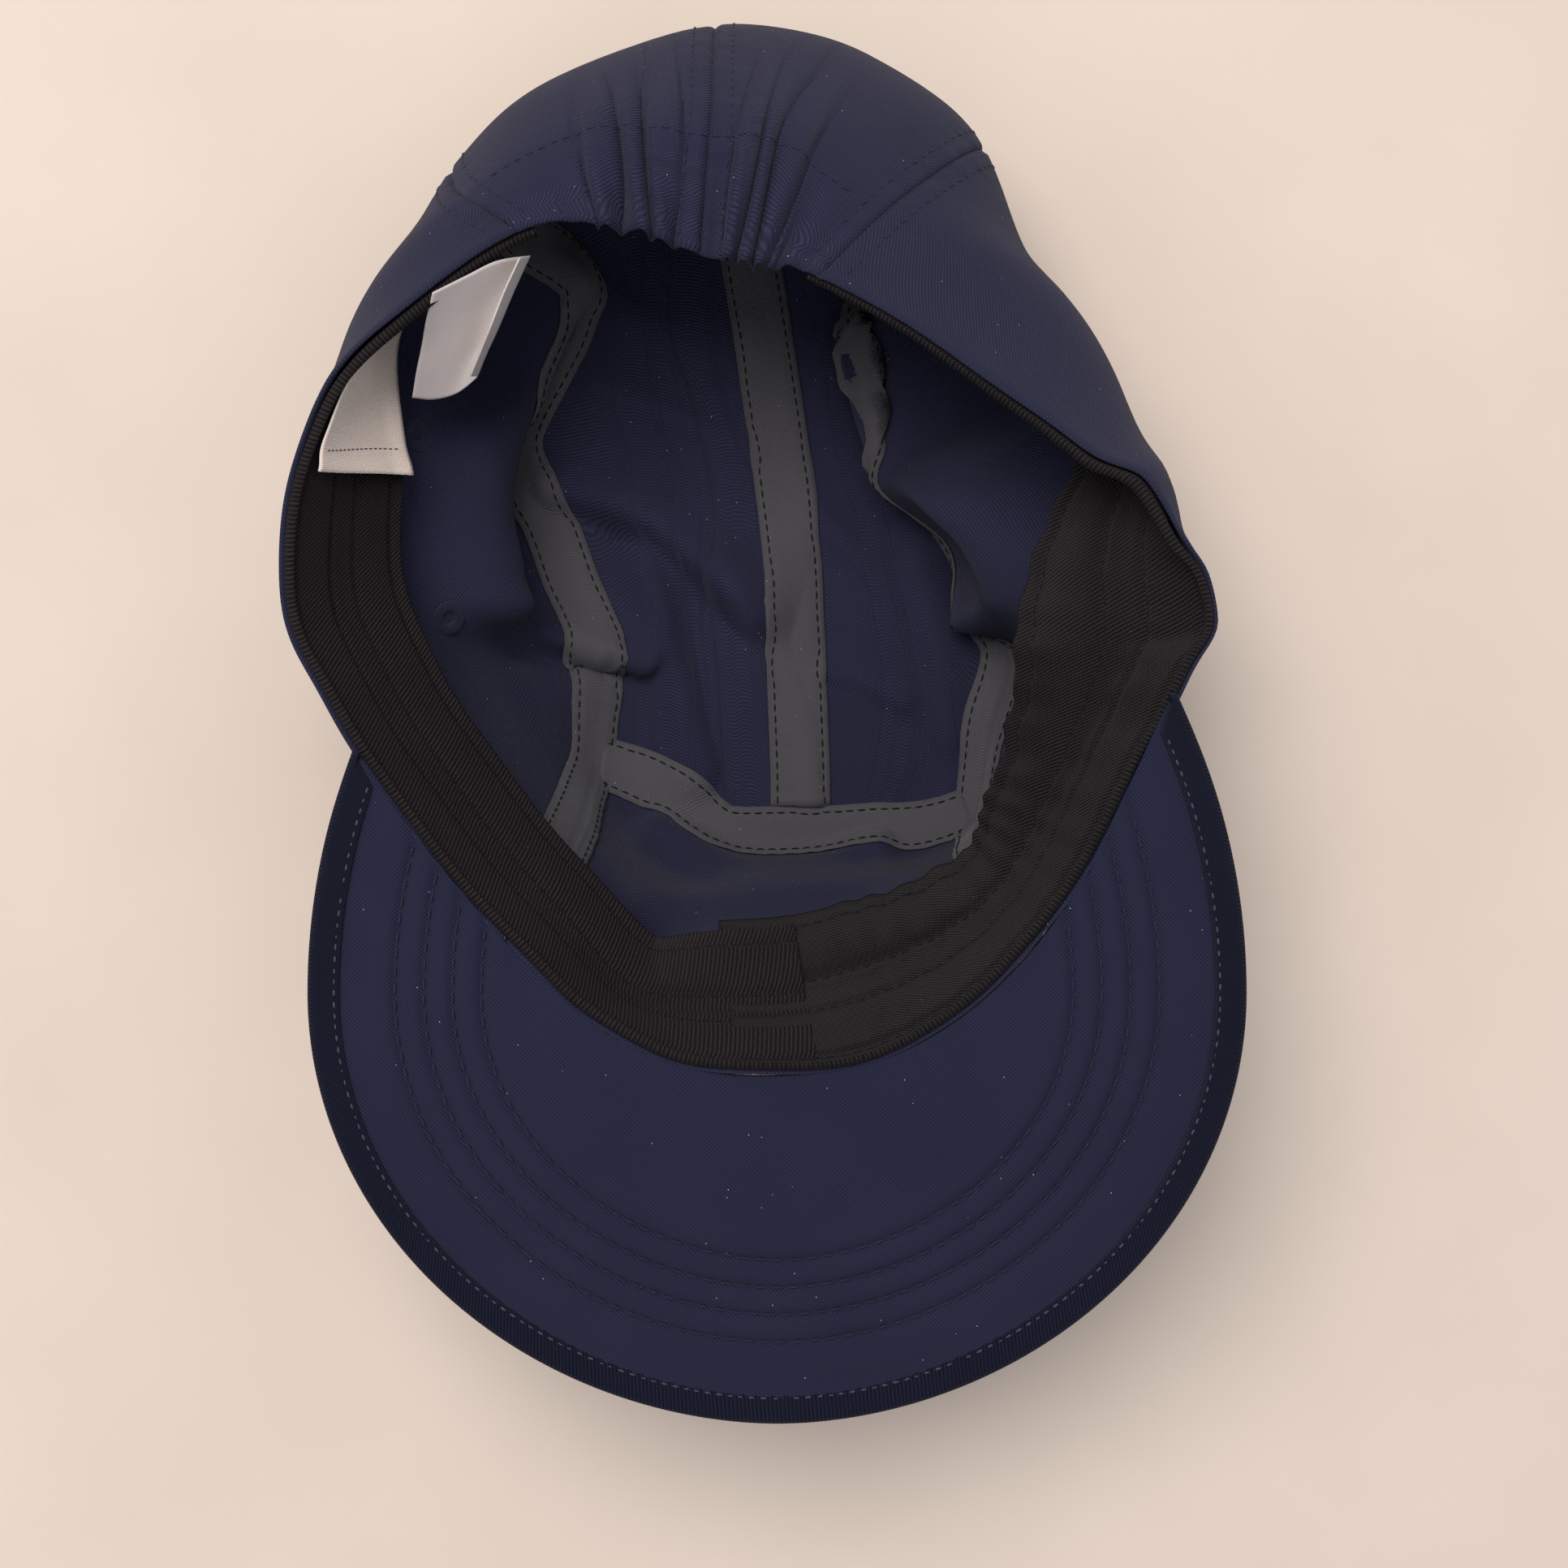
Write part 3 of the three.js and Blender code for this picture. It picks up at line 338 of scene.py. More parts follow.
# name; rim, brow, waist, foot and sole, each x, y, z in shares of SCALE; how far the band
# stands off the wall there, in mm
SECTIONS = [
    ("front", (-0.06, -0.59, 0.94), (-0.09, -0.38, 0.64), (-0.06, -0.29, 0.33),
     (0.03, -0.17, 0.03), (0.03, 0.25, 0), 3),
    ("front_left_1", (-0.325, -0.52, 0.94), (-0.31, -0.42, 0.62), (-0.28, -0.28, 0.3),
     (-0.25, -0.12, 0.04), (-0.12, 0.28, 0), 3),
    ("front_left", (-0.56, -0.32, 0.94), (-0.51, -0.2, 0.63), (-0.475, -0.09, 0.35),
     (-0.45, 0.05, 0.05), (-0.24, 0.33, 0), 3),
    ("corner_left", (-0.86, 0.06, 0.965), (-0.74, 0.12, 0.63), (-0.66, 0.18, 0.35),
     (-0.52, 0.26, 0.09), (-0.3, 0.42, 0), 3),
    ("left", (-0.994, 0.335, 0.985), (-0.86, 0.37, 0.66), (-0.76, 0.42, 0.4),
     (-0.62, 0.46, 0.06), (-0.33, 0.52, 0), 3),
    ("left_back_1", (-0.98, 0.64, 1), (-0.9, 0.65, 0.7), (-0.77, 0.66, 0.4),
     (-0.64, 0.68, 0.05), (-0.34, 0.66, 0), 3),
    ("left_back_2", (-0.845, 0.885, 0.975), (-0.91, 0.97, 0.7), (-0.8, 1.01, 0.38),
     (-0.6, 0.93, 0.07), (-0.3, 0.8, 0), 3),
    ("back_left", (-0.54, 1.12, 0.91), (-0.68, 1.23, 0.78), (-0.72, 1.34, 0.48),
     (-0.51, 1.17, 0.08), (-0.24, 0.92, 0), 3),
    ("gather_left", (-0.36, 1.135, 0.89), (-0.4, 1.38, 0.83), (-0.45, 1.55, 0.47),
     (-0.38, 1.34, 0.05), (-0.2, 1, 0), 3),
    ("back", (-0.17, 1.08, 0.875), (-0.15, 1.38, 0.85), (-0.15, 1.66, 0.46),
     (-0.12, 1.48, 0.05), (-0.05, 1.05, 0), 3),
    ("gather_right", (-0.06, 1.055, 0.88), (0.02, 1.36, 0.83), (0.13, 1.58, 0.46),
     (0.08, 1.42, 0.05), (0.02, 1.03, 0), 3),
    ("back_right", (0.07, 1.035, 0.9), (0.24, 1.21, 0.8), (0.41, 1.36, 0.5),
     (0.28, 1.22, 0.08), (0.1, 0.98, 0), 3),
    ("right_back_2", (0.45, 0.78, 0.975), (0.6, 1.02, 0.72), (0.55, 0.98, 0.38),
     (0.36, 0.9, 0.07), (0.16, 0.78, 0), 6),
    ("right_back_1", (0.69, 0.58, 1), (0.74, 0.67, 0.69), (0.5, 0.63, 0.34),
     (0.45, 0.62, 0.08), (0.22, 0.62, 0), 10),
    ("right", (0.825, 0.35, 1), (0.62, 0.33, 0.72), (0.545, 0.33, 0.4),
     (0.57, 0.33, 0.06), (0.24, 0.5, 0), 10),
    ("corner_right", (0.74, 0.1, 0.97), (0.56, 0.09, 0.67), (0.5, 0.08, 0.38),
     (0.51, 0.12, 0.06), (0.24, 0.42, 0), 6),
    ("front_right", (0.53, -0.3, 0.94), (0.44, -0.19, 0.63), (0.44, -0.14, 0.35),
     (0.45, -0.07, 0.05), (0.2, 0.32, 0), 1.5),
    ("front_right_1", (0.26, -0.53, 0.94), (0.21, -0.32, 0.65), (0.22, -0.25, 0.33),
     (0.2, -0.16, 0.03), (0.12, 0.27, 0), 3),
]
COUNT = len(SECTIONS)
SCALE = np.array([SIDE_REACH, END_REACH, RIM_HEIGHT])


def section_knots():
    knots = np.zeros((COUNT, len(RING_AT), 3))
    for k, row in enumerate(SECTIONS):
        opposite = SECTIONS[(k + COUNT // 2) % COUNT]
        knots[k] = np.array([*row[1:6], MIDDLE, opposite[5]]) * SCALE
    return knots


KNOTS = section_knots()
print("sections", COUNT, "rings", len(RING_AT))


# %% From the flat disk to the crown
def hermite(start, start_slope, end, end_slope, t):
    t = t[..., None]
    t2, t3 = t * t, t * t * t
    return (start * (2 * t3 - 3 * t2 + 1) + start_slope * (t3 - 2 * t2 + t)
            + end * (3 * t2 - 2 * t3) + end_slope * (t3 - t2))


def curve_through(rows, place):
    """The smooth curve through rows of points; place counts the rows from 0."""
    padded = np.concatenate([[2 * rows[0] - rows[1]], rows, [2 * rows[-1] - rows[-2]]])
    k = np.minimum(np.floor(place).astype(int), len(rows) - 2)
    a, b, c, d = (padded[k + step] for step in range(4))
    t = (place - k).reshape(place.shape + (1,) * (rows.ndim - 2))
    return hermite(b, (c - a) / 2, c, (d - b) / 2, t)


def knot_slope(section, knot):
    before = np.maximum(knot - 1, 0)
    rise = KNOTS[section, knot + 1] - KNOTS[section, before]
    return rise / (RING_AT[knot + 1] - RING_AT[before])[..., None]


def along_section(section, inward):
    section = section % COUNT
    knot = np.clip(np.searchsorted(RING_AT, inward, side="left") - 1, 0, len(RING_AT) - 3)
    span = RING_AT[knot + 1] - RING_AT[knot]
    t = (inward - RING_AT[knot]) / span
    return hermite(KNOTS[section, knot], knot_slope(section, knot) * span[..., None],
                   KNOTS[section, knot + 1], knot_slope(section, knot + 1) * span[..., None], t)


def to_disk(section, inward):
    angle = -np.pi / 2 - np.asarray(section) / COUNT * 2 * np.pi
    radius = 1 - np.asarray(inward)
    return np.stack([np.cos(angle) * radius, np.sin(angle) * radius], axis=-1)


def from_disk(spots):
    turn = (-np.pi / 2 - np.arctan2(spots[..., 1], spots[..., 0])) / (2 * np.pi)
    return (turn % 1) * COUNT, 1 - np.hypot(spots[..., 0], spots[..., 1])


def plain_crown(spots):
    section, inward = from_disk(spots)
    inward = np.maximum(inward, 0)
    k = np.floor(section).astype(int)
    a, b, c, d = (along_section(k + step, inward) for step in (-1, 0, 1, 2))
    return hermite(b, (c - a) / 2, c, (d - b) / 2, section - k)


def unit(vectors):
    return vectors / np.maximum(np.linalg.norm(vectors, axis=-1, keepdims=True), 1e-12)


def slopes(surface, spots, step=0.004):
    """How the surface moves with each step across and along the disk."""
    east, north = np.array([step, 0]), np.array([0, step])
    across = (surface(spots + east) - surface(spots - east)) / (2 * step)
    along = (surface(spots + north) - surface(spots - north)) / (2 * step)
    return across, along


def normals(surface, spots):
    across, along = slopes(surface, spots)
    return unit(np.cross(across, along))


# %% [markdown]
# ## Folds and gathers
# Wool that is pressed flat by its own weight keeps soft creases, and the hem at the back is pulled
# together by elastic. A crease is a line on the flat disk with a width and a height, a gather is a
# wave along the rim that dies out away from it. Both push the crown along its own normal. A fold is
# drawn on the plan of the cap and may lean over. The same short tables could dress any bag.

# %% Creases, gathers and slow waves
# from and to are spots on the flat disk; half is half the width there; height in mm
CREASES = [
    ((-0.3, 0.35), (-0.06, 0.22), 0.05, 2.2),
    ((-0.3, 0.12), (-0.05, -0.08), 0.06, 2.6),
    ((-0.22, 0.05), (-0.16, -0.35), 0.05, 1.8),
    ((-0.5, 0.34), (-0.58, -0.05), 0.07, 3.0),
    ((-0.3, -0.62), (0.28, -0.6), 0.06, 3.0),
    ((0.06, 0.02), (0.2, -0.08), 0.05, 1.8),
    ((0.44, 0.34), (0.5, -0.12), 0.07, 3.0),
]
# the outside bulges or sinks a little in these places
BULGES = [
    ((0.93, 0.16), (0.95, -0.2), 0.085, -5.5),
    ((0.975, -0.1), (0.87, -0.46), 0.09, -2.5),
    ((0.34, 0.52), (0.24, 0.56), 0.13, -3.2),
    ((-0.43, 0.55), (-0.5, 0.5), 0.1, 2.4),
]
# from one section to another, and how many waves or pleats lie between them
GATHERS = [(7.5, 9.4, 3.5), (9.5, 10.9, 3.0)]
GATHER_DEPTH, GATHER_REACH = 1.1, 0.22
PLEATS = [(7.9, 8.72, 3), (9.36, 10.25, 3)]
PLEAT_DEPTH, PLEAT_REACH = 2.8, 0.3
# Folds of the cloth that lies on the ground: points across the cap in mm, half width, height,
# and how far the fold leans over (x, y)
FOLDS = [
    ([(-44, 94), (-28, 88), (-8, 79)], 4.0, 2.4, (0, -1)),
    ([(-53, 71), (-38, 66), (-25, 60), (-5, 40)], 5.0, 4.6, (-2, -1)),
    ([(-34, 50), (-27, 28), (-20, 3)], 5.0, 3.2, (1, 0)),
    ([(-12, 52), (-3, 34), (4, 14), (6, -4)], 4.5, 1.8, (0, 0)),
    ([(10, 28), (18, 26), (28, 21)], 4.0, 2.4, (0, -1)),
    ([(34, 50), (38, 30), (40, 12)], 5.0, 2.6, (-1, 0)),
    ([(-56, 116), (-66, 93), (-74, 77), (-75.5, 60), (-73, 42)], 6.5, 6.5, (5, 0)),
    ([(-51, 110), (-58, 95), (-64, 80), (-68, 64), (-66, 46)], 4.0, -3.0, (0, 0)),
    ([(31, 108), (37, 88), (47, 72.5), (55, 59.5), (59, 44)], 6.5, 8.0, (-14, -4)),
    ([(-70, 40), (-56, 37), (-42, 34), (-34, 31)], 4.0, 4.5, (0, -4)),
    ([(-60, 30), (-48, 28), (-38, 26)], 3.5, -3.0, (0, 0)),
    ([(-30, -12), (-12, -22), (8, -22), (22, -18)], 4.5, 3.0, (0, 2)),
]
FOLD_TOP, FOLD_FADE = 46.0, 18.0


def smooth(low, high, value):
    t = np.clip((value - low) / (high - low), 0, 1)
    return t * t * (3 - 2 * t)


def crease_height(spots):
    height = np.zeros(spots.shape[:-1])
    for start, end, half, lift in CREASES + BULGES:
        start, run = np.array(start), np.array(end) - np.array(start)
        t = np.clip(((spots - start) @ run) / (run @ run), 0, 1)
        away = np.linalg.norm(spots - start - t[..., None] * run, axis=-1) / half
        height += lift * np.exp(-away * away)
    return height


def gather_height(spots):
    section, inward = from_disk(spots)
    height = np.zeros(spots.shape[:-1])
    for low, high, folds in GATHERS:
        t = np.clip((section - low) / (high - low), 0, 1)
        fade = np.sqrt(np.sin(np.pi * t).clip(0)) * (1 - smooth(0, GATHER_REACH, inward))
        height += GATHER_DEPTH * fade * np.cos(2 * np.pi * folds * t)
    for low, high, count in PLEATS:
        t = (section - low) / (high - low)
        ends = smooth(-0.12, 0.08, t) * (1 - smooth(0.92, 1.12, t))
        fade = ends * (1 - smooth(0.05, PLEAT_REACH, inward))
        uneven = t + 0.06 * np.sin(9 * t + 14 * inward)
        height += PLEAT_DEPTH * fade * (1 - 2 * np.abs(np.sin(np.pi * count * uneven)) ** 0.6)
    return height


def rounded(line, parts=4):
    """The same line with a smooth curve through its points instead of straight runs."""
    rows = np.array(line, float)
    return curve_through(rows, np.linspace(0, len(rows) - 1, parts * (len(rows) - 1) + 1))


def fold_push(points, out):
    """Folds drawn on the plan of the cap; they fade out up the walls."""
    push = np.zeros(points.shape)
    for line, half, lift, lean in FOLDS:
        away = np.full(points.shape[:-1], 1e9)
        curve = rounded(line)
        for start, end in zip(curve[:-1], curve[1:]):
            run = end - start
            t = np.clip(((points[..., :2] - start) @ run) / (run @ run), 0, 1)
            away = np.minimum(away, np.linalg.norm(points[..., :2] - start - t[..., None] * run, axis=-1))
        share = np.exp(-(away / half) ** 2)[..., None]
        push += share * (lift * out + np.array([*lean, 0.0]))
    return push * (1 - smooth(FOLD_TOP - FOLD_FADE, FOLD_TOP, points[..., 2]))[..., None]


# steps across and along the disk, phase, height in mm
WAVES = [(9.0, 4.0, 0.3, 0.5), (5.0, -11.0, 1.9, 0.4), (17.0, 9.0, 4.0, 0.25), (-13.0, 19.0, 2.2, 0.22)]


def wave_height(spots):
    return sum(lift * np.sin(a * spots[..., 0] + b * spots[..., 1] + phase) for a, b, phase, lift in WAVES)


def crown(spots):
    """The middle of the cloth, flattened where the crown rests."""
    plain, out = plain_crown(spots), normals(plain_crown, spots)
    fold = crease_height(spots) + gather_height(spots) + wave_height(spots)
    points = plain + out * fold[..., None] + fold_push(plain, out)
    points[..., 2] = np.maximum(points[..., 2], CLOTH / 2)
    return points


look = to_disk(np.linspace(0, 17, 60)[:, None], np.linspace(0, 1, 40))
print("least x, y and z of the crown, mm", crown(look).min(axis=(0, 1)).round(1))


# %% [markdown]
# ## Lines on the crown
# A seam is a line on the flat disk. To lay tapes and stitches beside it, the line is resampled by its
# true length along the cloth, and shifted sideways along the surface in a few small corrections,
# because the disk is stretched when it becomes the bag.

# %% Lines and strips on the crown
LINE_FINE = 400
# rounds of correction on the disk, and the longest step of one round
BESIDE_ROUNDS, BESIDE_STEP = 3, 0.05
LOCATE_ROUNDS, LOCATE_STEP, LOCATE_CUT = 25, 0.02, 0.05


def run_lengths(points):
    steps = np.linalg.norm(np.diff(points, axis=0), axis=-1)
    return np.concatenate([[0], np.cumsum(steps)])


def resample(values, lengths, wanted):
    return np.stack([np.interp(wanted, lengths, values[:, k]) for k in range(values.shape[1])], axis=-1)


def even_steps(spots, step=None, count=None):
    """Spots of a line, an even distance apart on the cloth: by that distance or by their number."""
    lengths = run_lengths(crown(spots))
    count = count or max(2, int(round(lengths[-1] / step)))
    return resample(spots, lengths, np.linspace(0, lengths[-1], count + 1))


def spread(line, count):
    return even_steps(line(np.linspace(0, 1, LINE_FINE)), count=count)


def smoothed(spots, width):
    """Rounds the corners of a line by averaging each spot with its neighbours."""
    kernel = np.ones(width) / width
    padded = np.pad(spots, ((width // 2, width // 2), (0, 0)), mode="reflect", reflect_type="odd")
    return np.stack([np.convolve(padded[:, k], kernel, mode="valid") for k in range(2)], axis=-1)


def disk_move(spots, miss, most, rcond=None):
    """The step on the disk that carries the cloth over the miss, no longer than most."""
    size = miss.shape[-1]
    grid = np.stack([slope[:, :size] for slope in slopes(plain_crown, spots)], axis=-1)
    moves = [np.linalg.lstsq(g, m, rcond=rcond)[0] for g, m in zip(grid, miss)]
    return np.clip(np.array(moves), -most, most)


def beside(spots, distance):
    """Spots moved sideways along the cloth, to the left of the line's run seen from inside."""
    points = crown(spots)
    tangent = unit(np.gradient(points, axis=0))
    side = unit(np.cross(normals(plain_crown, spots), tangent))
    target = points + side * distance
    moved = spots.copy()
    for _ in range(BESIDE_ROUNDS):
        moved = moved + disk_move(moved, target - crown(moved), BESIDE_STEP)
    return moved


# Seams as places across the cap in mm, between their two ends on the disk
LEFT_SEAM = [(-45.2, 16), (-43.6, 31), (-49.5, 45), (-55.5, 62), (-63, 77), (-61, 91.4), (-52.5, 104)]
RIGHT_SEAM = [(48, 8), (52, 24), (51, 41), (46.5, 54.5), (38.5, 67.5), (29.5, 83), (24, 95), (21, 106)]
CROSS_MIDDLE = (3.6, -12.1)
CROSS_LEFT = [(-35, 2), (-24.5, -3.2), (-18.5, -9), (-12, -12)]
CROSS_RIGHT = [(12, -12), (24, -11.4), (34, -10.6)]


def locate(places, guess):
    """Spots of the disk whose cloth lies over the given places, found step by step."""
    spots = guess.copy()
    for _ in range(LOCATE_ROUNDS):
        miss = places - plain_crown(spots)[:, :2]
        spots = spots + disk_move(spots, miss, LOCATE_STEP, LOCATE_CUT)
    return spots


def seam_line(start, places, end):
    """A smooth curve on the disk from one end over the cloth at each place to the other end."""
    share = np.linspace(0, 1, len(places) + 2)[1:-1, None]
    guess = start * (1 - share) + end * share
    rows = np.vstack([start, locate(np.array(places, float), guess), end])
    return lambda t: curve_through(rows, np.asarray(t) * (len(rows) - 1))


def ring_line(low, high, inward):
    return lambda t: to_disk(low + (high - low) * np.asarray(t), np.full(np.shape(t), float(inward)))


def radial_line(section, low, high):
    return lambda t: to_disk(np.full(np.shape(t), float(section)), low + (high - low) * np.asarray(t))


FRONT_LEFT, BACK_LEFT, BACK, BACK_RIGHT, FRONT_RIGHT = 2, 7, 9, 11, 16
LEFT_END_AT, RIGHT_END_AT = 0.52, 0.54
corner_left, corner_right = to_disk(FRONT_LEFT, FOOT_AT), to_disk(FRONT_RIGHT, FOOT_AT)
# of each side: the sections of its front and back wall seams, then the seam in its three lines
SIDES = {
    "left": (FRONT_LEFT, BACK_LEFT, radial_line(FRONT_LEFT, 0, FOOT_AT),
             seam_line(corner_left, LEFT_SEAM, to_disk(BACK_LEFT, LEFT_END_AT)),
             radial_line(BACK_LEFT, 0, LEFT_END_AT)),
    "right": (FRONT_RIGHT, BACK_RIGHT, radial_line(FRONT_RIGHT, 0, FOOT_AT),
              seam_line(corner_right, RIGHT_SEAM, to_disk(BACK_RIGHT, RIGHT_END_AT)),
              radial_line(BACK_RIGHT, 0, RIGHT_END_AT)),
}
wall_back = radial_line(BACK, 0, FOOT_AT)
cross_middle = locate(np.array([CROSS_MIDDLE]), to_disk(0, FOOT_AT)[None])[0]
seam_cross_left = seam_line(corner_left, CROSS_LEFT, cross_middle)
seam_cross_right = seam_line(cross_middle, CROSS_RIGHT, corner_right)


def seam_centre(t):
    start, end = cross_middle, to_disk(BACK, FOOT_AT)
    return start + (end - start) * np.asarray(t)[..., None]


print("seams drawn")


# %% [markdown]
# ## Cloth as closed sheets
# Each piece of cloth is a fine grid of points, thickened to both sides along its normals and closed
# round its edges. Its coordinates are written in millimetres along the threads, for the weave.

# %% Making a closed sheet from two grids
def new_piece(name, points, faces, uvs, material, replaces):
    mesh = bpy.data.meshes.new(name)
    mesh.from_pydata(to_frame(points).tolist(), [], faces)
    mesh.update()
    layer = mesh.uv_layers.new(name="cloth_mm")
    corner_points = np.zeros(len(mesh.loops), dtype=np.int32)
    mesh.loops.foreach_get("vertex_index", corner_points)
    layer.data.foreach_set("uv", np.asarray(uvs, dtype=np.float32)[corner_points].ravel())
    mesh.shade_smooth()
    mesh.materials.append(material)
    piece = bpy.data.objects.new(name, mesh)
    bpy.context.scene.collection.objects.link(piece)
    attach(piece, "root")
    if replaces:
        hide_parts(*replaces)
    print(name, "points", len(points), "faces", len(faces))


def grid_faces(columns, rows, offset=0, flipped=False):
    i, j = np.meshgrid(np.arange(columns - 1), np.arange(rows - 1), indexing="ij")
    a = (i * rows + j).ravel() + offset
    quads = np.stack([a, a + rows, a + rows + 1, a + 1], axis=1)
    return quads[:, ::-1] if flipped else quads


def border_ids(columns, rows):
    low = [i * rows for i in range(columns)]
    end = [(columns - 1) * rows + j for j in range(1, rows)]
    high = [i * rows + rows - 1 for i in range(columns - 2, -1, -1)]
    start = list(range(rows - 2, 0, -1))
    return np.array(low + end + high + start)


def grid_runs(grid):
    """Distance along the columns and along the rows, in millimetres, at each grid point."""
    across, along = np.zeros(grid.shape[:2]), np.zeros(grid.shape[:2])
    across[1:] = np.cumsum(np.linalg.norm(np.diff(grid, axis=0), axis=-1), axis=0)
    along[:, 1:] = np.cumsum(np.linalg.norm(np.diff(grid, axis=1), axis=-1), axis=1)
    return across, along


def closed_sheet(name, inner, outer, material, replaces, flat_weave=False):
    """inner faces into the hollow; the two grids are joined round their border."""
    columns, rows = inner.shape[:2]
    size = columns * rows
    square = np.cross(inner[1, 0] - inner[0, 0], inner[0, 1] - inner[0, 0])
    flipped = np.dot(square, inner[0, 0] - outer[0, 0]) < 0
    border = border_ids(columns, rows)
    after = np.roll(border, -1)
    wall = np.stack([border, border + size, after + size, after], axis=1)
    faces = np.vstack([grid_faces(columns, rows, 0, flipped), grid_faces(columns, rows, size, not flipped),
                       wall[:, ::-1] if flipped else wall])
    if flat_weave:
        uv = inner.reshape(-1, 3)[:, :2]
    else:
        u, v = grid_runs(inner)
        middle = u[columns // 2]
        uv = np.stack([(u - middle + middle.mean()).ravel(), v.ravel()], axis=-1)
    points = np.vstack([inner.reshape(-1, 3), outer.reshape(-1, 3)])
    new_piece(name, points, faces.tolist(), np.vstack([uv, uv]), material, replaces)


# %% [markdown]
# ## The five panels
# Every panel lies between four lines: seams, or the rim. The grid between them is stretched as a
# drum skin over its frame. Beside a seam the cloth dips into the stitching and puckers a little,
# which is what makes a sewn seam look sewn from the outside.

# %% Stretching a panel between its seams
def shares(spots):
    lengths = run_lengths(crown(spots))
    return lengths / lengths[-1]


def patch(low, high, start, end):
    """A grid of spots between four edges; low and high run one way, start and end the other."""
    columns, rows = len(low), len(start)
    i, j = np.arange(columns) / (columns - 1), np.arange(rows) / (rows - 1)
    mix_u = (1 - j)[None, :] * shares(low)[:, None] + j[None, :] * shares(high)[:, None]
    mix_v = (1 - i)[:, None] * shares(start)[None, :] + i[:, None] * shares(end)[None, :]
    mix_u, mix_v = mix_u[..., None], mix_v[..., None]
    ruled_v = low[:, None] * (1 - mix_v) + high[:, None] * mix_v
    ruled_u = start[None, :] * (1 - mix_u) + end[None, :] * mix_u
    corner = ((low[0] * (1 - mix_u) + low[-1] * mix_u) * (1 - mix_v)
              + (high[0] * (1 - mix_u) + high[-1] * mix_u) * mix_v)
    return ruled_v + ruled_u - corner


def edge_distances(points):
    """Distance from each grid point to the four edges, along the grid."""
    u, v = grid_runs(points)
    return {"start": u, "end": u[-1:] - u, "low": v, "high": v[:, -1:] - v}


SEAM_DIP, SEAM_DIP_WIDTH = 0.5, 0.9
PUCKER, PUCKER_WIDTH = 0.28, 5.0
# the inside shows a share of the relief; at its edges a panel is a share of its full thickness
INSIDE_SHARE, EDGE_SHARE, EDGE_FADE = 0.35, 0.45, 0.9


def sewn_relief(points, seams):
    """How far the cloth sinks at its seams, and puckers beside them."""
    away = edge_distances(points)
    dip = np.zeros(points.shape[:2])
    for seam in seams:
        distance = away[seam]
        run = away["low"] if seam in ("start", "end") else away["start"]
        ripple = np.sin(run * 0.95 + 1.5 * np.sin(run * 0.21)) * np.sin(run * 0.37 + 0.8)
        dip -= SEAM_DIP * np.exp(-(distance / SEAM_DIP_WIDTH) ** 2)
        dip += PUCKER * ripple * np.exp(-distance / PUCKER_WIDTH)
    return dip


def panel(name, spots, seams):
    points = crown(spots)
    out = normals(crown, spots)
    relief = sewn_relief(points, seams)[..., None]
    nearest = np.minimum.reduce(list(edge_distances(points).values()))[..., None]
    thin = CLOTH / 2 * (EDGE_SHARE + (1 - EDGE_SHARE) * smooth(0, EDGE_FADE, nearest))
    inner = points + out * (thin - relief * INSIDE_SHARE)
    outer = points - out * (thin + relief)
    outer[..., 2] = np.maximum(outer[..., 2], 0.0)
    closed_sheet(name, inner, outer, NAVY, [name])


STEP = 1.5
columns_half, columns_side = int(180 / STEP), int(168 / STEP)
rows_wall, rows_seam = int(90 / STEP), int(118 / STEP)
rim_front = np.vstack([spread(ring_line(FRONT_LEFT, 0, 0), columns_half),
                       spread(ring_line(COUNT, FRONT_RIGHT, 0), columns_half)[1:]])
cross_halves = {"left": spread(seam_cross_left, columns_half),
                "right": spread(seam_cross_right, columns_half)}
cross = np.vstack([cross_halves["left"], cross_halves["right"][1:]])
panel("front_panel", patch(rim_front, cross, *(spread(SIDES[side][2], rows_wall) for side in SIDES)),
      ["high", "start", "end"])
for side, (front, back, front_wall, seam, back_wall) in SIDES.items():
    panel("side_panel_" + side, patch(
        spread(ring_line(front, back, 0), columns_side), spread(seam, columns_side),
        spread(front_wall, rows_wall), spread(back_wall, rows_wall)), ["high", "start", "end"])


# %% The two top panels
def down_and_along(wall, seam):
    return np.vstack([spread(wall, rows_wall), spread(seam, rows_seam)[-2::-1]])


for side, cross_half in (("left", cross_halves["left"]), ("right", cross_halves["right"][::-1])):
    _, back, _, seam, back_wall = SIDES[side]
    panel("top_panel_" + side, patch(
        spread(ring_line(back, BACK, 0), columns_half), cross_half, down_and_along(back_wall, seam),
        down_and_along(wall_back, seam_centre)), ["start", "end", "high"])


# %% [markdown]
# ## Stitches
# A machine stitch is a short thread that comes up, lies on the cloth and goes down again. One
# spindle, thin at both ends, is laid again and again along each line, a little sunk in the cloth.
# Laying them as real geometry costs few faces and catches the light as thread does.

# %% Laying stitches along a line
SPINDLE_SIDES = 6
# along the stitch, how wide and how high it is there
SPINDLE_RINGS = [
    (-0.5, 0.25, -0.55), (-0.3, 0.85, 0.0), (0.0, 1.0, 0.25), (0.3, 0.85, 0.0), (0.5, 0.25, -0.55)]


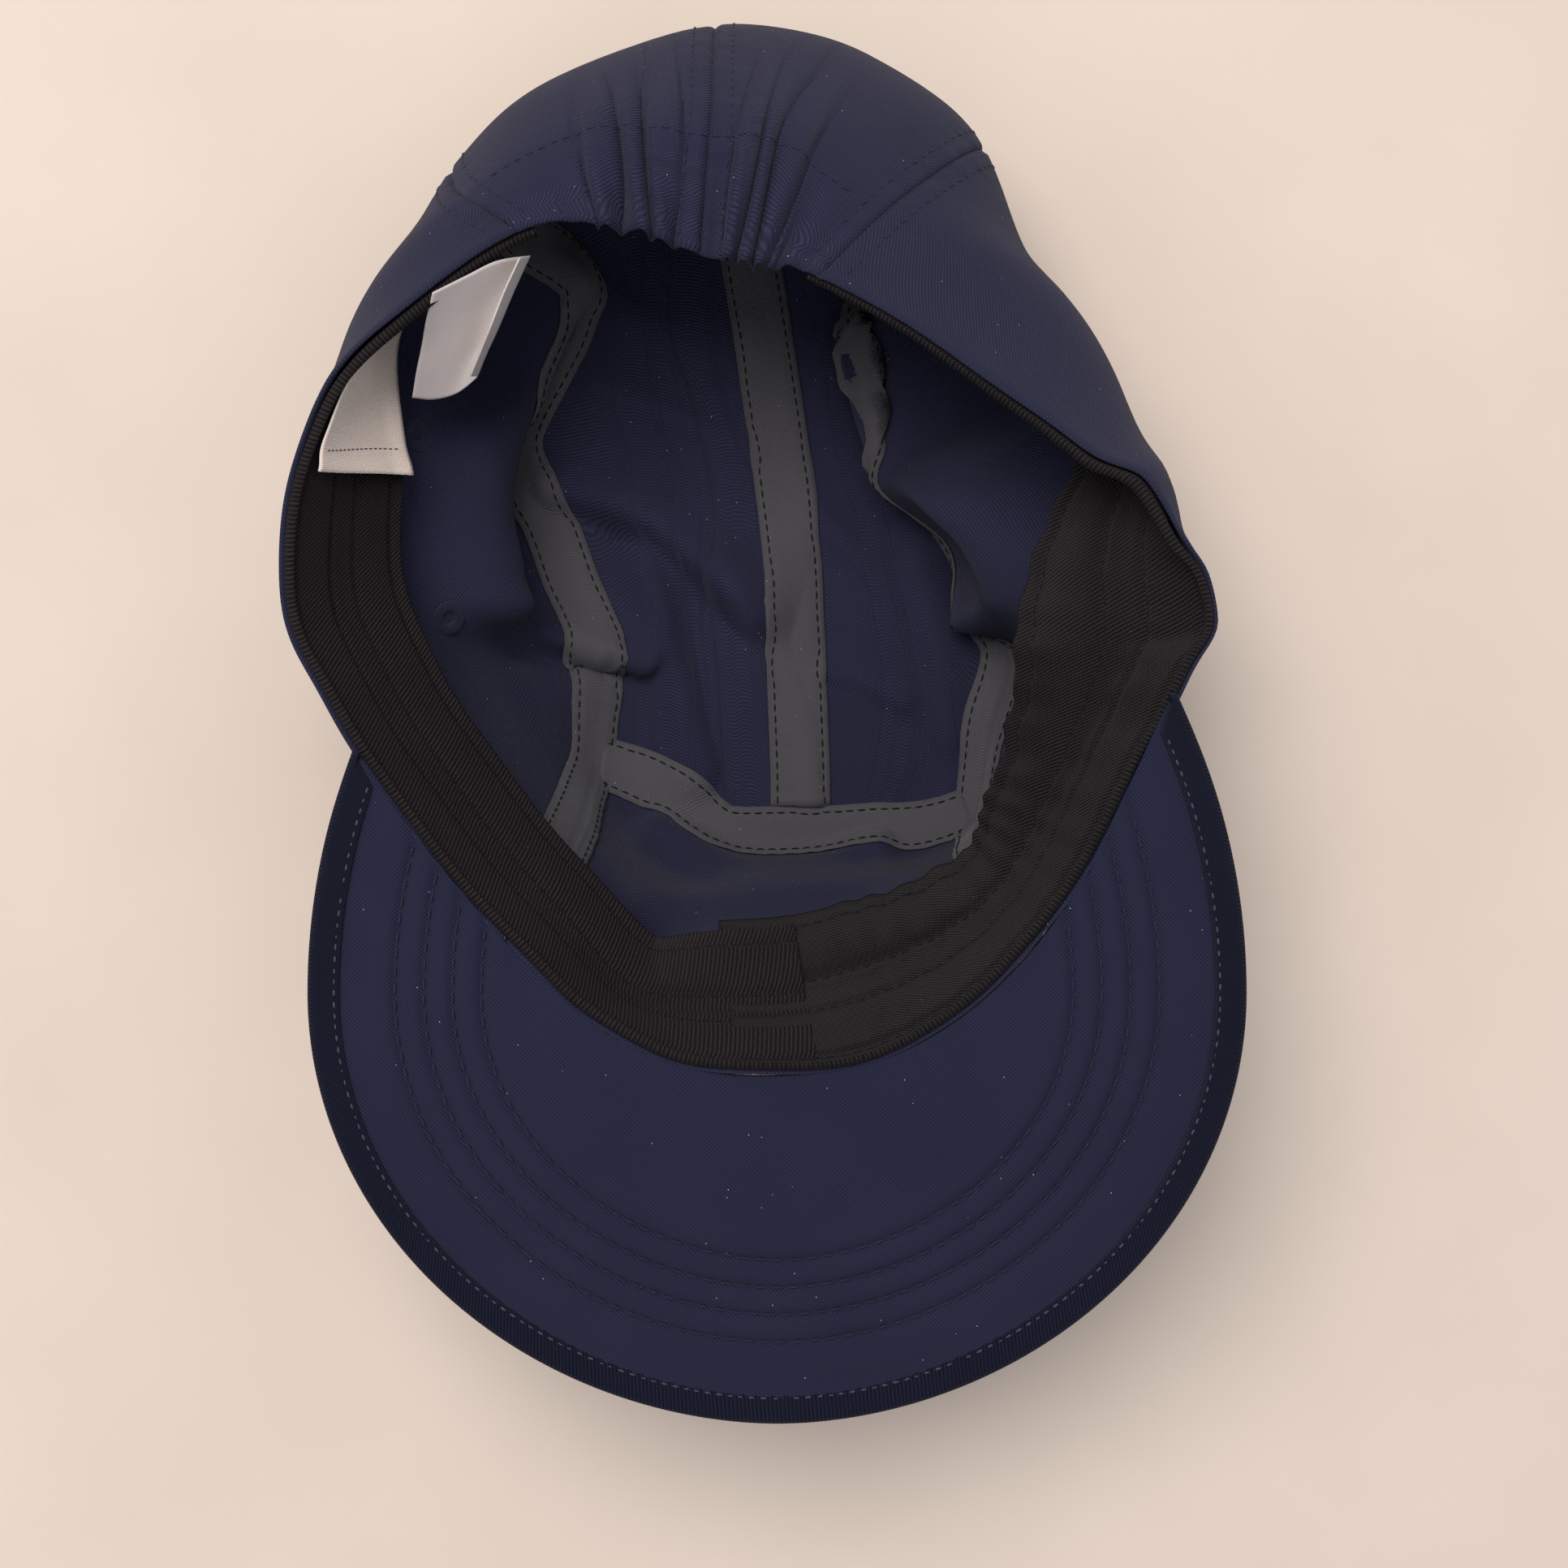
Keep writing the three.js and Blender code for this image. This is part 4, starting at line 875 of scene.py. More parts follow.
def spindle():
    """Unit stitch: columns are along, out and side shares, with its faces."""
    points = []
    for along, wide, lift in SPINDLE_RINGS:
        for k in range(SPINDLE_SIDES):
            angle = 2 * math.pi * k / SPINDLE_SIDES
            points.append((along, lift + wide * math.sin(angle), wide * math.cos(angle)))
    faces = []
    for ring in range(len(SPINDLE_RINGS) - 1):
        for k in range(SPINDLE_SIDES):
            a, b = ring * SPINDLE_SIDES + k, ring * SPINDLE_SIDES + (k + 1) % SPINDLE_SIDES
            faces.append((a, b, b + SPINDLE_SIDES, a + SPINDLE_SIDES))
    last = (len(SPINDLE_RINGS) - 1) * SPINDLE_SIDES
    faces.append(tuple(range(SPINDLE_SIDES - 1, -1, -1)))
    faces.append(tuple(last + k for k in range(SPINDLE_SIDES)))
    return np.array(points), faces


SPINDLE, SPINDLE_FACES = spindle()


class StitchBox:
    """Collects the stitches of one thread and makes them into one piece."""

    def __init__(self):
        self.points, self.faces, self.count = [], [], 0

    def row(self, points, out, pitch, share=0.72, thick=0.2, lift=0.05):
        lengths = run_lengths(points)
        number = int(lengths[-1] / pitch)
        if number < 1:
            return
        middles = (np.arange(number) + 0.5) * pitch
        at = resample(points, lengths, middles)
        ahead = unit(resample(points, lengths, middles + pitch * 0.3)
                     - resample(points, lengths, middles - pitch * 0.3))
        up = resample(out, lengths, middles)
        up = unit(up - ahead * np.sum(up * ahead, axis=-1, keepdims=True))
        side = np.cross(ahead, up)
        for k in range(number):
            local = (at[k] + up[k] * lift + SPINDLE[:, :1] * ahead[k] * pitch * share
                     + SPINDLE[:, 1:2] * up[k] * thick + SPINDLE[:, 2:3] * side[k] * thick)
            start = self.count * len(SPINDLE)
            self.points.append(local)
            self.faces.extend(tuple(start + v for v in face) for face in SPINDLE_FACES)
            self.count += 1

    def make(self, name, material):
        points = np.vstack(self.points)
        print(name, "stitches", self.count)
        new_piece(name, points, self.faces, points[:, :2], material, [])

# the middle of an outside stitch lies at least this high over the ground, in mm
OUTSIDE_LEAST = 0.12
def inside_row(box, spots, pitch, height, **more):
    """Stitches that lie inside the crown, at a height over the middle of the cloth."""
    out = normals(crown, spots)
    box.row(crown(spots) + out * height, out, pitch, **more)


def outside_row(box, spots, pitch):
    out = normals(crown, spots)
    points = crown(spots) - out * (CLOTH / 2)
    points[..., 2] = np.maximum(points[..., 2], OUTSIDE_LEAST)
    box.row(points, -out, pitch)


# %% [markdown]
# ## Seam tapes
# A narrow cotton tape covers each raw seam inside, held by a row of stitches along both edges. It is
# a strip laid along the seam's line, a little domed over the seam allowance below it and pulled down
# at its stitches.

# %% Tapes over the seams
TAPE_LIFT = CLOTH / 2 + 0.35
TAPE_STITCH_INSET, TAPE_PITCH, TAPE_COLUMNS = 1.6, 2.7, 15
TAPE_DOME, TAPE_PULL, TAPE_RIPPLE = 0.55, 0.3, 0.14
BAND_END_IN = 0.17
tape_stitches = StitchBox()


def tape(name, spots):
    spots = even_steps(spots, STEP)
    half = TAPE_WIDTH / 2
    widths = np.linspace(-half, half, TAPE_COLUMNS)
    strip = np.stack([beside(spots, width) for width in widths], axis=1)
    points, out = crown(strip), normals(crown, strip)
    run = run_lengths(points[:, TAPE_COLUMNS // 2])[:, None]
    share = widths[None, :] / half
    from_stitch = (half - np.abs(widths) - TAPE_STITCH_INSET)[None, :]
    base = (TAPE_LIFT + TAPE_DOME * (1 - share ** 4) - TAPE_PULL * np.exp(-(from_stitch / 0.9) ** 2)
            + TAPE_RIPPLE * np.sin(run * 1.15 + 2 * np.sin(run * 0.13)) * np.abs(share) ** 2)
    thin = TAPE_CLOTH * (0.5 + 0.5 * (1 - share ** 6))
    inner = points + out * (base + thin)[..., None]
    outer = points + out * np.minimum(base, TAPE_LIFT)[..., None]
    closed_sheet(name, inner, outer, TAPE, [name])
    for side in (-1, 1):
        line = beside(spots, side * (half - TAPE_STITCH_INSET))
        inside_row(tape_stitches, line, TAPE_PITCH, TAPE_LIFT + TAPE_CLOTH + 0.12)


def side_run(side, start, width):
    """The whole seam of a side, from a share of the front wall down it, along and up the back wall."""
    _, _, front_wall, seam, back_wall = SIDES[side]
    parts = (front_wall(np.linspace(start, 1, 60)), seam(np.linspace(0, 1, 200)),
             back_wall(np.linspace(1, start, 60)))
    down, along, up = (even_steps(part, 1.0) for part in parts)
    return smoothed(np.vstack([down[:-1], along[:-1], up]), width)


def cross_run(start):
    return smoothed(np.vstack([seam_cross_left(np.linspace(start, 1, 80)),
                               seam_cross_right(np.linspace(0, 1 - start, 80))[1:]]), 5)


def centre_run(start, end, fine):
    return np.vstack([seam_centre(np.linspace(start, 1, 2 * fine)), wall_back(np.linspace(1, end, fine))[1:]])


for side in SIDES:
    tape("seam_tape_" + side, side_run(side, BAND_END_IN / FOOT_AT, 17))
tape("seam_tape_cross", cross_run(0.03))
tape("seam_tape_centre", centre_run(0.045, BAND_END_IN / FOOT_AT, 60))
tape_stitches.make("tape_stitches", DARK_THREAD)

# %% [markdown]
# ## Topstitching outside
# On the outside each seam has a row of stitches on both sides, and the gathered hem has the row that
# closes its tunnel for the elastic.

# %% Rows on the outside
OUTER_PITCH, OUTER_BESIDE = 2.8, 4.2
TUNNEL_IN, TUNNEL_FROM, TUNNEL_TO = 0.15, 7.2, 10.8
outer_stitches = StitchBox()
for line in (centre_run(0, 0.02, 80), side_run("left", 0.03, 9), side_run("right", 0.03, 9), cross_run(0.02)):
    line = even_steps(line, 1.5)
    for side in (-OUTER_BESIDE, OUTER_BESIDE):
        outside_row(outer_stitches, beside(line, side), OUTER_PITCH)
tunnel = ring_line(TUNNEL_FROM, TUNNEL_TO, TUNNEL_IN)(np.linspace(0, 1, 120))
outside_row(outer_stitches, even_steps(tunnel, 1.0), OUTER_PITCH)
outer_stitches.make("outer_stitches", THREAD)


# %% [markdown]
# ## The sweatband
# A strip of twill is sewn in along the rim and turned inwards, so it hangs free below its outer edge.
# It is laid by its true width down the wall from the rim and stands off the wall towards its free
# edge. Four rows of stitches pull it in, and its two ends lap near the front.

# %% Depth lines below the rim
# how far in the band's wall is measured, and at how many spots
WALL_REACH, WALL_FINE = 0.42, 90


def down_from_rim(sections, depths):
    """Spots at true distances down the wall from the rim, one row of spots for each section."""
    inward = np.linspace(0, WALL_REACH, WALL_FINE)
    spots = to_disk(sections[:, None], inward[None, :])
    points = plain_crown(spots)
    lengths = np.concatenate([np.zeros((len(sections), 1)), np.cumsum(
        np.linalg.norm(np.diff(points, axis=1), axis=-1), axis=1)], axis=1)
    found = np.array([np.interp(depths[k], lengths[k], inward) for k in range(len(sections))])
    return to_disk(sections[:, None], found)


BAND_LIFTS = np.array([row[6] for row in SECTIONS], float)
SEW_GAP = 0.3


def band_base(sections, share):
    most = np.interp(sections % COUNT, np.arange(COUNT + 1), np.append(BAND_LIFTS, BAND_LIFTS[0]))
    return CLOTH / 2 + 2 * SEW_GAP + most[:, None] * smooth(0, 1, share)


# %% The band in two lapped runs
BAND_ROWS_AT, BAND_PITCH = np.array([2.2, 13.0, 20.0, 30.4]), 2.9
BAND_GROOVE, BAND_GROOVE_WIDTH, BAND_PUFF = 0.75, 0.75, 0.3
# over the last part of the right run, where the other one laps it, the cloth lies smooth
CALM_FROM, CALM_TO = 17.0, 17.5
# sections, then how deep the middle sinks and how far the free edge stands up, in mm
VALLEY = ([0, 1, 2, 3, 7, 11, 13, 14, 15, 16, 17, 18],
          [1.9, 1.9, 1.6, 1.2, 0.4, 0.3, 1.0, 2.2, 2.6, 2.2, 1.9, 1.9])
EDGE_LIFT = ([0, 1, 2, 3, 7, 11, 15, 16, 17, 18], [2.5, 2.0, 0.8, 0.3, 0.2, 0.2, 0.5, 1.5, 2.5, 2.5])
VALLEY_AT, VALLEY_WIDTH = 17.0, 4.5
BAND_REACH, ROW_SHARE = 36, 0.4
band_stitches = StitchBox()


def bell(distance, width):
    return np.exp(-(distance / width) ** 2)


def band_run(name, low, high, width_at, extra_at):
    """A run of the band between two sections; width_at and extra_at vary it along the rim."""
    rim = even_steps(to_disk(np.linspace(low, high, 400), 0.0), STEP)
    sections = np.unwrap(from_disk(rim)[0] * 2 * np.pi / COUNT) * COUNT / (2 * np.pi)
    rows = int(BAND_REACH / (STEP * ROW_SHARE)) + 1
    share = np.linspace(0, 1, rows)[None, :].repeat(len(sections), axis=0)
    width = width_at(sections)[:, None]
    spots = down_from_rim(sections, share * width)
    points, out = crown(spots), normals(plain_crown, spots)
    run = run_lengths(points[:, 0])[:, None]
    depth = share * BAND_WIDTH
    groove = BAND_GROOVE * sum(bell(depth - at, BAND_GROOVE_WIDTH) for at in BAND_ROWS_AT)
    puff = BAND_PUFF * sum(np.sin(np.pi * np.clip((depth - start) / (end - start), 0, 1))
                           for start, end in (BAND_ROWS_AT[:2], BAND_ROWS_AT[2:]))
    ripple = 0.3 * np.sin(run * 0.62 + 1.7 * np.sin(run * 0.11) + 0.08 * depth) * (0.4 + share)
    ripple += 0.5 * np.sin(run * 0.23 + 2 * np.sin(run * 0.05)) * share ** 2
    calm = 1 - smooth(CALM_FROM, CALM_TO, sections)[:, None]
    ripple, puff = ripple * calm, puff * calm
    wrapped = sections % COUNT
    valley = np.interp(wrapped, *VALLEY)[:, None] * bell(depth - VALLEY_AT, VALLEY_WIDTH)
    base = (band_base(sections, share) + extra_at(sections)[:, None]
            + np.interp(wrapped, *EDGE_LIFT)[:, None] * smooth(0.6, 1, share))
    roll = 0.9 * bell(depth, 1.6) + 0.8 * bell(depth - width, 1.2)
    inner = points + out * (base + BAND_CLOTH + puff + ripple + roll - groove - valley)[..., None]
    outer = points + out * (base + 0.3 * ripple - 0.8 * valley)[..., None]
    closed_sheet(name, inner, outer, TWILL_BAND, ["sweatband"])
    for at in BAND_ROWS_AT:
        row = int(at / BAND_WIDTH * (rows - 1))
        band_stitches.row(inner[:, row], out[:, row], BAND_PITCH, thick=0.19, lift=0.12)


LAP_LEFT, LAP_RIGHT = -0.42, 18.12
band_run("sweatband", LAP_LEFT, 7.15, lambda s: BAND_WIDTH - 4.5 * bell(s - 0.8, 1.0),
         lambda s: 3.2 * (1 - smooth(0.3, 1.7, s)))
band_run("sweatband_right", 10.9, LAP_RIGHT, lambda s: BAND_WIDTH + 4.5 * smooth(16.2, 17.4, s),
         np.zeros_like)
band_stitches.make("band_stitches", DARK_THREAD)


# %% [markdown]
# ## The peak
# The peak is a board between two layers of cloth. Its outline is two half ellipses, and the rows of
# quilting run parallel to it. So the fine grid is laid inwards from the outline, at true distances,
# until it meets the rim: then each quilting row is a row of the grid, and its groove stays crisp.

# %% Outline and seat of the peak
PEAK_SEAT_GAP, TIP_WIDTH = 0.1, 0.6
SEAT_LEFT, SEAT_RIGHT, SEAT_FINE = 3.4, 14.3, 160
QUILT_ROWS = [17.5, 23.3, 29.0, 34.8]
PEAK_COLUMNS = 300
PEAK_REACH, PEAK_POINT = 90.0, 1.04
LEFT_ANGLE, RIGHT_ANGLE = math.radians(180 - 25.3), math.radians(360 + 32.2)


def outline_point(angle):
    """Two half ellipses; the front one is drawn a little more pointed."""
    front = np.sin(angle) < 0
    across = np.sign(np.cos(angle)) * np.abs(np.cos(angle)) ** np.where(front, PEAK_POINT, 1.0)
    reach = np.where(front, PEAK_REACH, PEAK_SHOULDER)
    return PEAK_MIDDLE + np.stack([PEAK_HALF_WIDTH * across, reach * np.sin(angle)], axis=-1)


def outline_curve():
    """Even points of the outline from the left end round the front to the right, with inward normals."""
    angles = np.linspace(LEFT_ANGLE, RIGHT_ANGLE, 2000)
    points = outline_point(angles)
    lengths = run_lengths(points)
    even = resample(points, lengths, np.linspace(0, lengths[-1], PEAK_COLUMNS))
    tangent = unit(np.gradient(even, axis=0))
    return even, np.stack([-tangent[:, 1], tangent[:, 0]], axis=-1)


def seat_curve():
    """The rim, moved out to where the peak's inner edge lies, with its height."""
    sections = np.concatenate([np.linspace(SEAT_LEFT, 0, SEAT_FINE),
                               np.linspace(COUNT, SEAT_RIGHT, SEAT_FINE)[1:]])
    spots = to_disk(sections, 0.0)
    rim, out = plain_crown(spots), normals(plain_crown, spots)
    level = unit(-out * np.array([1, 1, 0]))
    return rim + level * PEAK_SEAT_GAP


def widths_to_seat(edge, inward, seat):
    """How far in from the outline each column meets the seat, and the seat's height there."""
    width, height = np.full(len(edge), TIP_WIDTH), np.full(len(edge), seat[0, 2])
    start, step, rise = seat[:-1, :2], np.diff(seat[:, :2], axis=0), np.diff(seat[:, 2])
    for k in range(len(edge)):
        gap = start - edge[k]
        cross_step = inward[k, 0] * step[:, 1] - inward[k, 1] * step[:, 0]
        cross_step = np.where(np.abs(cross_step) < 1e-9, 1e-9, cross_step)
        along_ray = (gap[:, 0] * step[:, 1] - gap[:, 1] * step[:, 0]) / cross_step
        along_seat = (gap[:, 0] * inward[k, 1] - gap[:, 1] * inward[k, 0]) / cross_step
        hit = (along_seat >= 0) & (along_seat <= 1) & (along_ray > 0.2)
        if hit.any():
            first = np.argmin(np.where(hit, along_ray, 1e9))
            width[k] = along_ray[first]
            height[k] = seat[first, 2] + rise[first] * along_seat[first]
    return np.maximum(width, TIP_WIDTH), height


edge, inward = outline_curve()
seat = seat_curve()
peak_width, seat_height = widths_to_seat(edge, inward, seat)
print("peak width at the middle, mm", peak_width[len(peak_width) // 2].round(1))


# %% The board with its quilting
PEAK_SINK, PEAK_SIDE_RISE = 1.2, 2.0
front_height = SECTIONS[0][1][2] * RIM_HEIGHT - PEAK_SINK
forward = np.maximum(0, (PEAK_MIDDLE[1] - edge[:, 1]) / PEAK_LENGTH)
sideways = np.abs(edge[:, 0] - PEAK_MIDDLE[0]) / PEAK_HALF_WIDTH
seat_level = seat_height - PEAK_SINK
edge_level = front_height - PEAK_DROOP * forward ** 2 + PEAK_SIDE_RISE * sideways ** 2
edge_level = seat_level + (edge_level - seat_level) * smooth(0, PEAK_LENGTH / 4, peak_width)
QUILT_START, QUILT_END, FAR_ROWS = 8.0, 40.0, 26
QUILT_GROOVE, QUILT_PUFF, QUILT_PUCKER = 0.85, 0.32, 0.1
near_rows = np.arange(0, QUILT_END, 0.7)


def peak_depths():
    """Distances in from the edge for each column: fixed ones first, then stretched to the seat."""
    depths = np.zeros((PEAK_COLUMNS, len(near_rows) + FAR_ROWS))
    for k, width in enumerate(peak_width):
        # a narrow column keeps the rows of its outer half, a wide one all but the last 3 mm
        kept = near_rows[near_rows < max(width - 3, width * 0.5)]
        rest = np.linspace(kept[-1], width, depths.shape[1] - len(kept) + 1)[1:]
        depths[k] = np.concatenate([kept, rest])
    return depths


def peak_middle(depths):
    flat = edge[:, None] + inward[:, None] * depths[..., None]
    share = (depths / peak_width[:, None])
    level = edge_level[:, None] * (1 - share) + seat_level[:, None] * share
    return np.concatenate([flat, level[..., None]], axis=-1)


def quilting(depths, run):
    """Grooves at the quilting rows, with the cloth puffed up between them."""
    groove = QUILT_GROOVE * sum(bell(depths - at, 0.8) for at in QUILT_ROWS)
    puff = np.zeros_like(depths)
    for low, high in zip([QUILT_START, *QUILT_ROWS], [*QUILT_ROWS, QUILT_END + 1]):
        puff += QUILT_PUFF * np.sin(np.pi * np.clip((depths - low) / (high - low), 0, 1))
    nearest = np.min([np.abs(depths - at) for at in QUILT_ROWS], axis=0)
    pucker = QUILT_PUCKER * np.sin(run * 1.75 + 0.6 * np.sin(run * 0.2)) * np.exp(-nearest / 1.8)
    return puff - groove + pucker


depths = peak_depths()
peak_run = run_lengths(edge)[:, None]
middle = peak_middle(depths)
relief = quilting(depths, peak_run)[..., None]
lift = np.array([0, 0, 1.0])
body = PEAK_BOARD / 2 - 0.15
half_board = body * (0.55 + 0.45 * smooth(0, 1.4, depths)[..., None])
bottom_face = middle + lift * (half_board + relief)
top_face = middle - lift * (half_board + 0.6 * relief)
closed_sheet("peak", bottom_face, top_face, PEAK_NAVY, ["peak"], flat_weave=True)


# %% Quilting stitches
quilt_stitches = StitchBox()


def peak_point(distance, side):
    """The line at a distance in from the edge, on the lower or upper face of the peak."""
    use = peak_width > distance + 1.5
    line = edge[use] + inward[use] * distance
    share = distance / peak_width[use]
    level = edge_level[use] * (1 - share) + seat_level[use] * share
    return np.column_stack([line, level + side * (body - 0.36)])


for distance in QUILT_ROWS:
    for side in (1, -1):
        points = peak_point(distance, side)
        up = np.tile([0, 0, float(side)], (len(points), 1))
        quilt_stitches.row(points, up, 3.5, share=0.7, thick=0.22, lift=0.08)
quilt_stitches.make("quilt_stitches", THREAD)


# %% [markdown]
# ## The binding
# A ribbed strip is folded round the peak's edge and sewn through. Its section is a rounded channel,
# carried along the outline. Small puckers run across it, one for each stitch, because the strip is
# stretched round the curve.

# %% Binding round the peak's edge
BINDING_LIFT, BINDING_SKIN, BINDING_TURN = 0.75, 0.6, 1.8
BINDING_PITCH = 2.3


def binding_section(arm):
    """Out and up shares of the channel's outer and inner skin, from the lower to the upper edge."""
    half = PEAK_BOARD / 2 + BINDING_LIFT
    arm_at = np.linspace(-arm, -BINDING_TURN, 7)[:-1]
    arc = np.linspace(-math.pi / 2, math.pi / 2, 13)

    def skin(arm_up, centre, reach, arc_up):
        return np.column_stack([
            np.concatenate([arm_at, centre + reach * np.cos(arc), arm_at[::-1]]),
            np.concatenate([-arm_up, arc_up * np.sin(arc), arm_up[::-1]])])

    inner_up = half - BINDING_SKIN
    return (skin(half * (0.82 + 0.18 * smooth(-arm, -arm + 0.8, arm_at)), -BINDING_TURN, 1.9, half),
            skin(np.full(len(arm_at), inner_up), -1.9, 1.2, inner_up))


arms = np.minimum(BINDING_WIDTH, peak_width * 0.8)
sections_outer, sections_inner = [], []
for k in range(PEAK_COLUMNS):
    outer_skin, inner_skin = binding_section(arms[k])
    base = np.array([*edge[k], edge_level[k]])
    outward = np.array([*-inward[k], 0.0])
    pucker = 1 + 0.07 * math.sin(peak_run[k, 0] * 2 * math.pi / BINDING_PITCH)
    sections_outer.append(base + outer_skin[:, :1] * outward + outer_skin[:, 1:] * lift * pucker)
    sections_inner.append(base + inner_skin[:, :1] * outward + inner_skin[:, 1:] * lift)
closed_sheet("peak_binding", np.array(sections_outer), np.array(sections_inner), RIBBED,
             ["peak_binding"])
binding_stitches = StitchBox()
for side in (1, -1):
    keep = arms > BINDING_WIDTH - 0.5
    line = edge[keep] + inward[keep] * (BINDING_WIDTH - 0.9)
    points = np.column_stack([line, edge_level[keep] + side * (PEAK_BOARD / 2 + BINDING_LIFT * 0.7)])
    up = np.tile([0, 0, float(side)], (len(points), 1))
    binding_stitches.row(points, up, BINDING_PITCH, thick=0.22, lift=0.1)
binding_stitches.make("binding_stitches", PALE_THREAD)


# %% [markdown]
# ## Labels
# A woven label lies on the band at the left, and a satin ribbon beside it has curled up at its free
# side. Both are left plain. The first follows the band, the second is drawn through a few given
# points.

# %% Woven label on the band
LABEL_FROM, LABEL_TO, LABEL_TOP, LABEL_DEEP = 4.98, 6.72, 1.5, 31.5
LABEL_ROWS, LABEL_THICK, LABEL_STITCHED = 30, 0.35, 6


def brand_label():
    sections = np.linspace(LABEL_FROM, LABEL_TO, int(50 / STEP) * 2)
    share = np.linspace(0, 1, LABEL_ROWS)[None, :].repeat(len(sections), axis=0)
    depth = LABEL_TOP + share * LABEL_DEEP
    spots = down_from_rim(sections, depth)
    points, out = crown(spots), normals(plain_crown, spots)
    end = (sections - LABEL_FROM)[:, None] / (LABEL_TO - LABEL_FROM)
    curl = 1.6 * bell(end, 0.07) + 0.8 * smooth(0.8, 1, share)
    wave = 0.35 * np.sin(end * 9 + share * 2.5)
    level = band_base(sections, depth / BAND_WIDTH) + BAND_CLOTH + 0.9 + curl + wave
    inner = points + out * (level + LABEL_THICK)[..., None]
    closed_sheet("brand_label", inner, points + out * level[..., None], LABEL, ["brand_label"])
    hem = StitchBox()
    hem.row(inner[LABEL_STITCHED, 2:-2], out[LABEL_STITCHED, 2:-2], 1.6, thick=0.12, lift=0.08)
    hem.make("label_stitches", THREAD)


brand_label()

# %% Satin ribbon
# Rows run from the rim inwards, columns from the band to the curled side; x, y, z in mm
RIBBON_THICK = 0.3
RIBBON = np.array([
    [(-70.8, 99.0, 76), (-64.2, 102.9, 74), (-58.4, 106.3, 72), (-52.4, 108.6, 67), (-53.7, 106.7, 73)],
    [(-72.9, 94.6, 71), (-66.6, 97.0, 67.5), (-61.1, 99.5, 65.5), (-56.0, 101.0, 66), (-57.0, 100.0, 72)],
    [(-74.6, 90.5, 66), (-68.5, 91.2, 62), (-63.4, 92.5, 60), (-59.2, 94.3, 64), (-59.9, 93.6, 70)],
    [(-76.4, 85.6, 62), (-71.4, 86.0, 58.5), (-66.4, 87.4, 57), (-62.0, 89.7, 61), (-62.6, 89.0, 66)],
    [(-77.9, 81.0, 58), (-73.8, 81.2, 55), (-69.1, 82.7, 54), (-64.6, 85.4, 57), (-65.2, 84.8, 62)],
])


def refine(grid, count, axis):
    """Smooth curve through the points of a grid, along one axis."""
    grid = np.moveaxis(grid, axis, 0)
    return np.moveaxis(curve_through(grid, np.linspace(0, len(grid) - 1, count)), 0, axis)


def ribbon():
    fine = refine(refine(RIBBON, 46, 0), 40, 1)
    out = unit(np.cross(np.gradient(fine, axis=0), np.gradient(fine, axis=1)))
    half = RIBBON_THICK / 2 * out * np.sign(out[..., 2:].mean())
    closed_sheet("care_label", fine + half, fine - half, SATIN, ["care_label"])


ribbon()

# %% [markdown]
# ## Eyelets
# Each air hole is worked round with thread. A ring whose surface rises and falls once for each stitch
# looks like satin stitching. One lies on each face of the cloth, which is left whole between them.

# %% Stitched eyelets
EYELETS = {
    "eyelet_left_front": (3.8, 0.33),
    "eyelet_left_back": (5.3, 0.31),
    "eyelet_right_front": (14.3, 0.34),
    "eyelet_right_back": (12.4, 0.28),
}
EYELET_RADIUS, EYELET_HALF, EYELET_RISE, EYELET_STITCHES = 2.6, 1.3, 0.62, 28


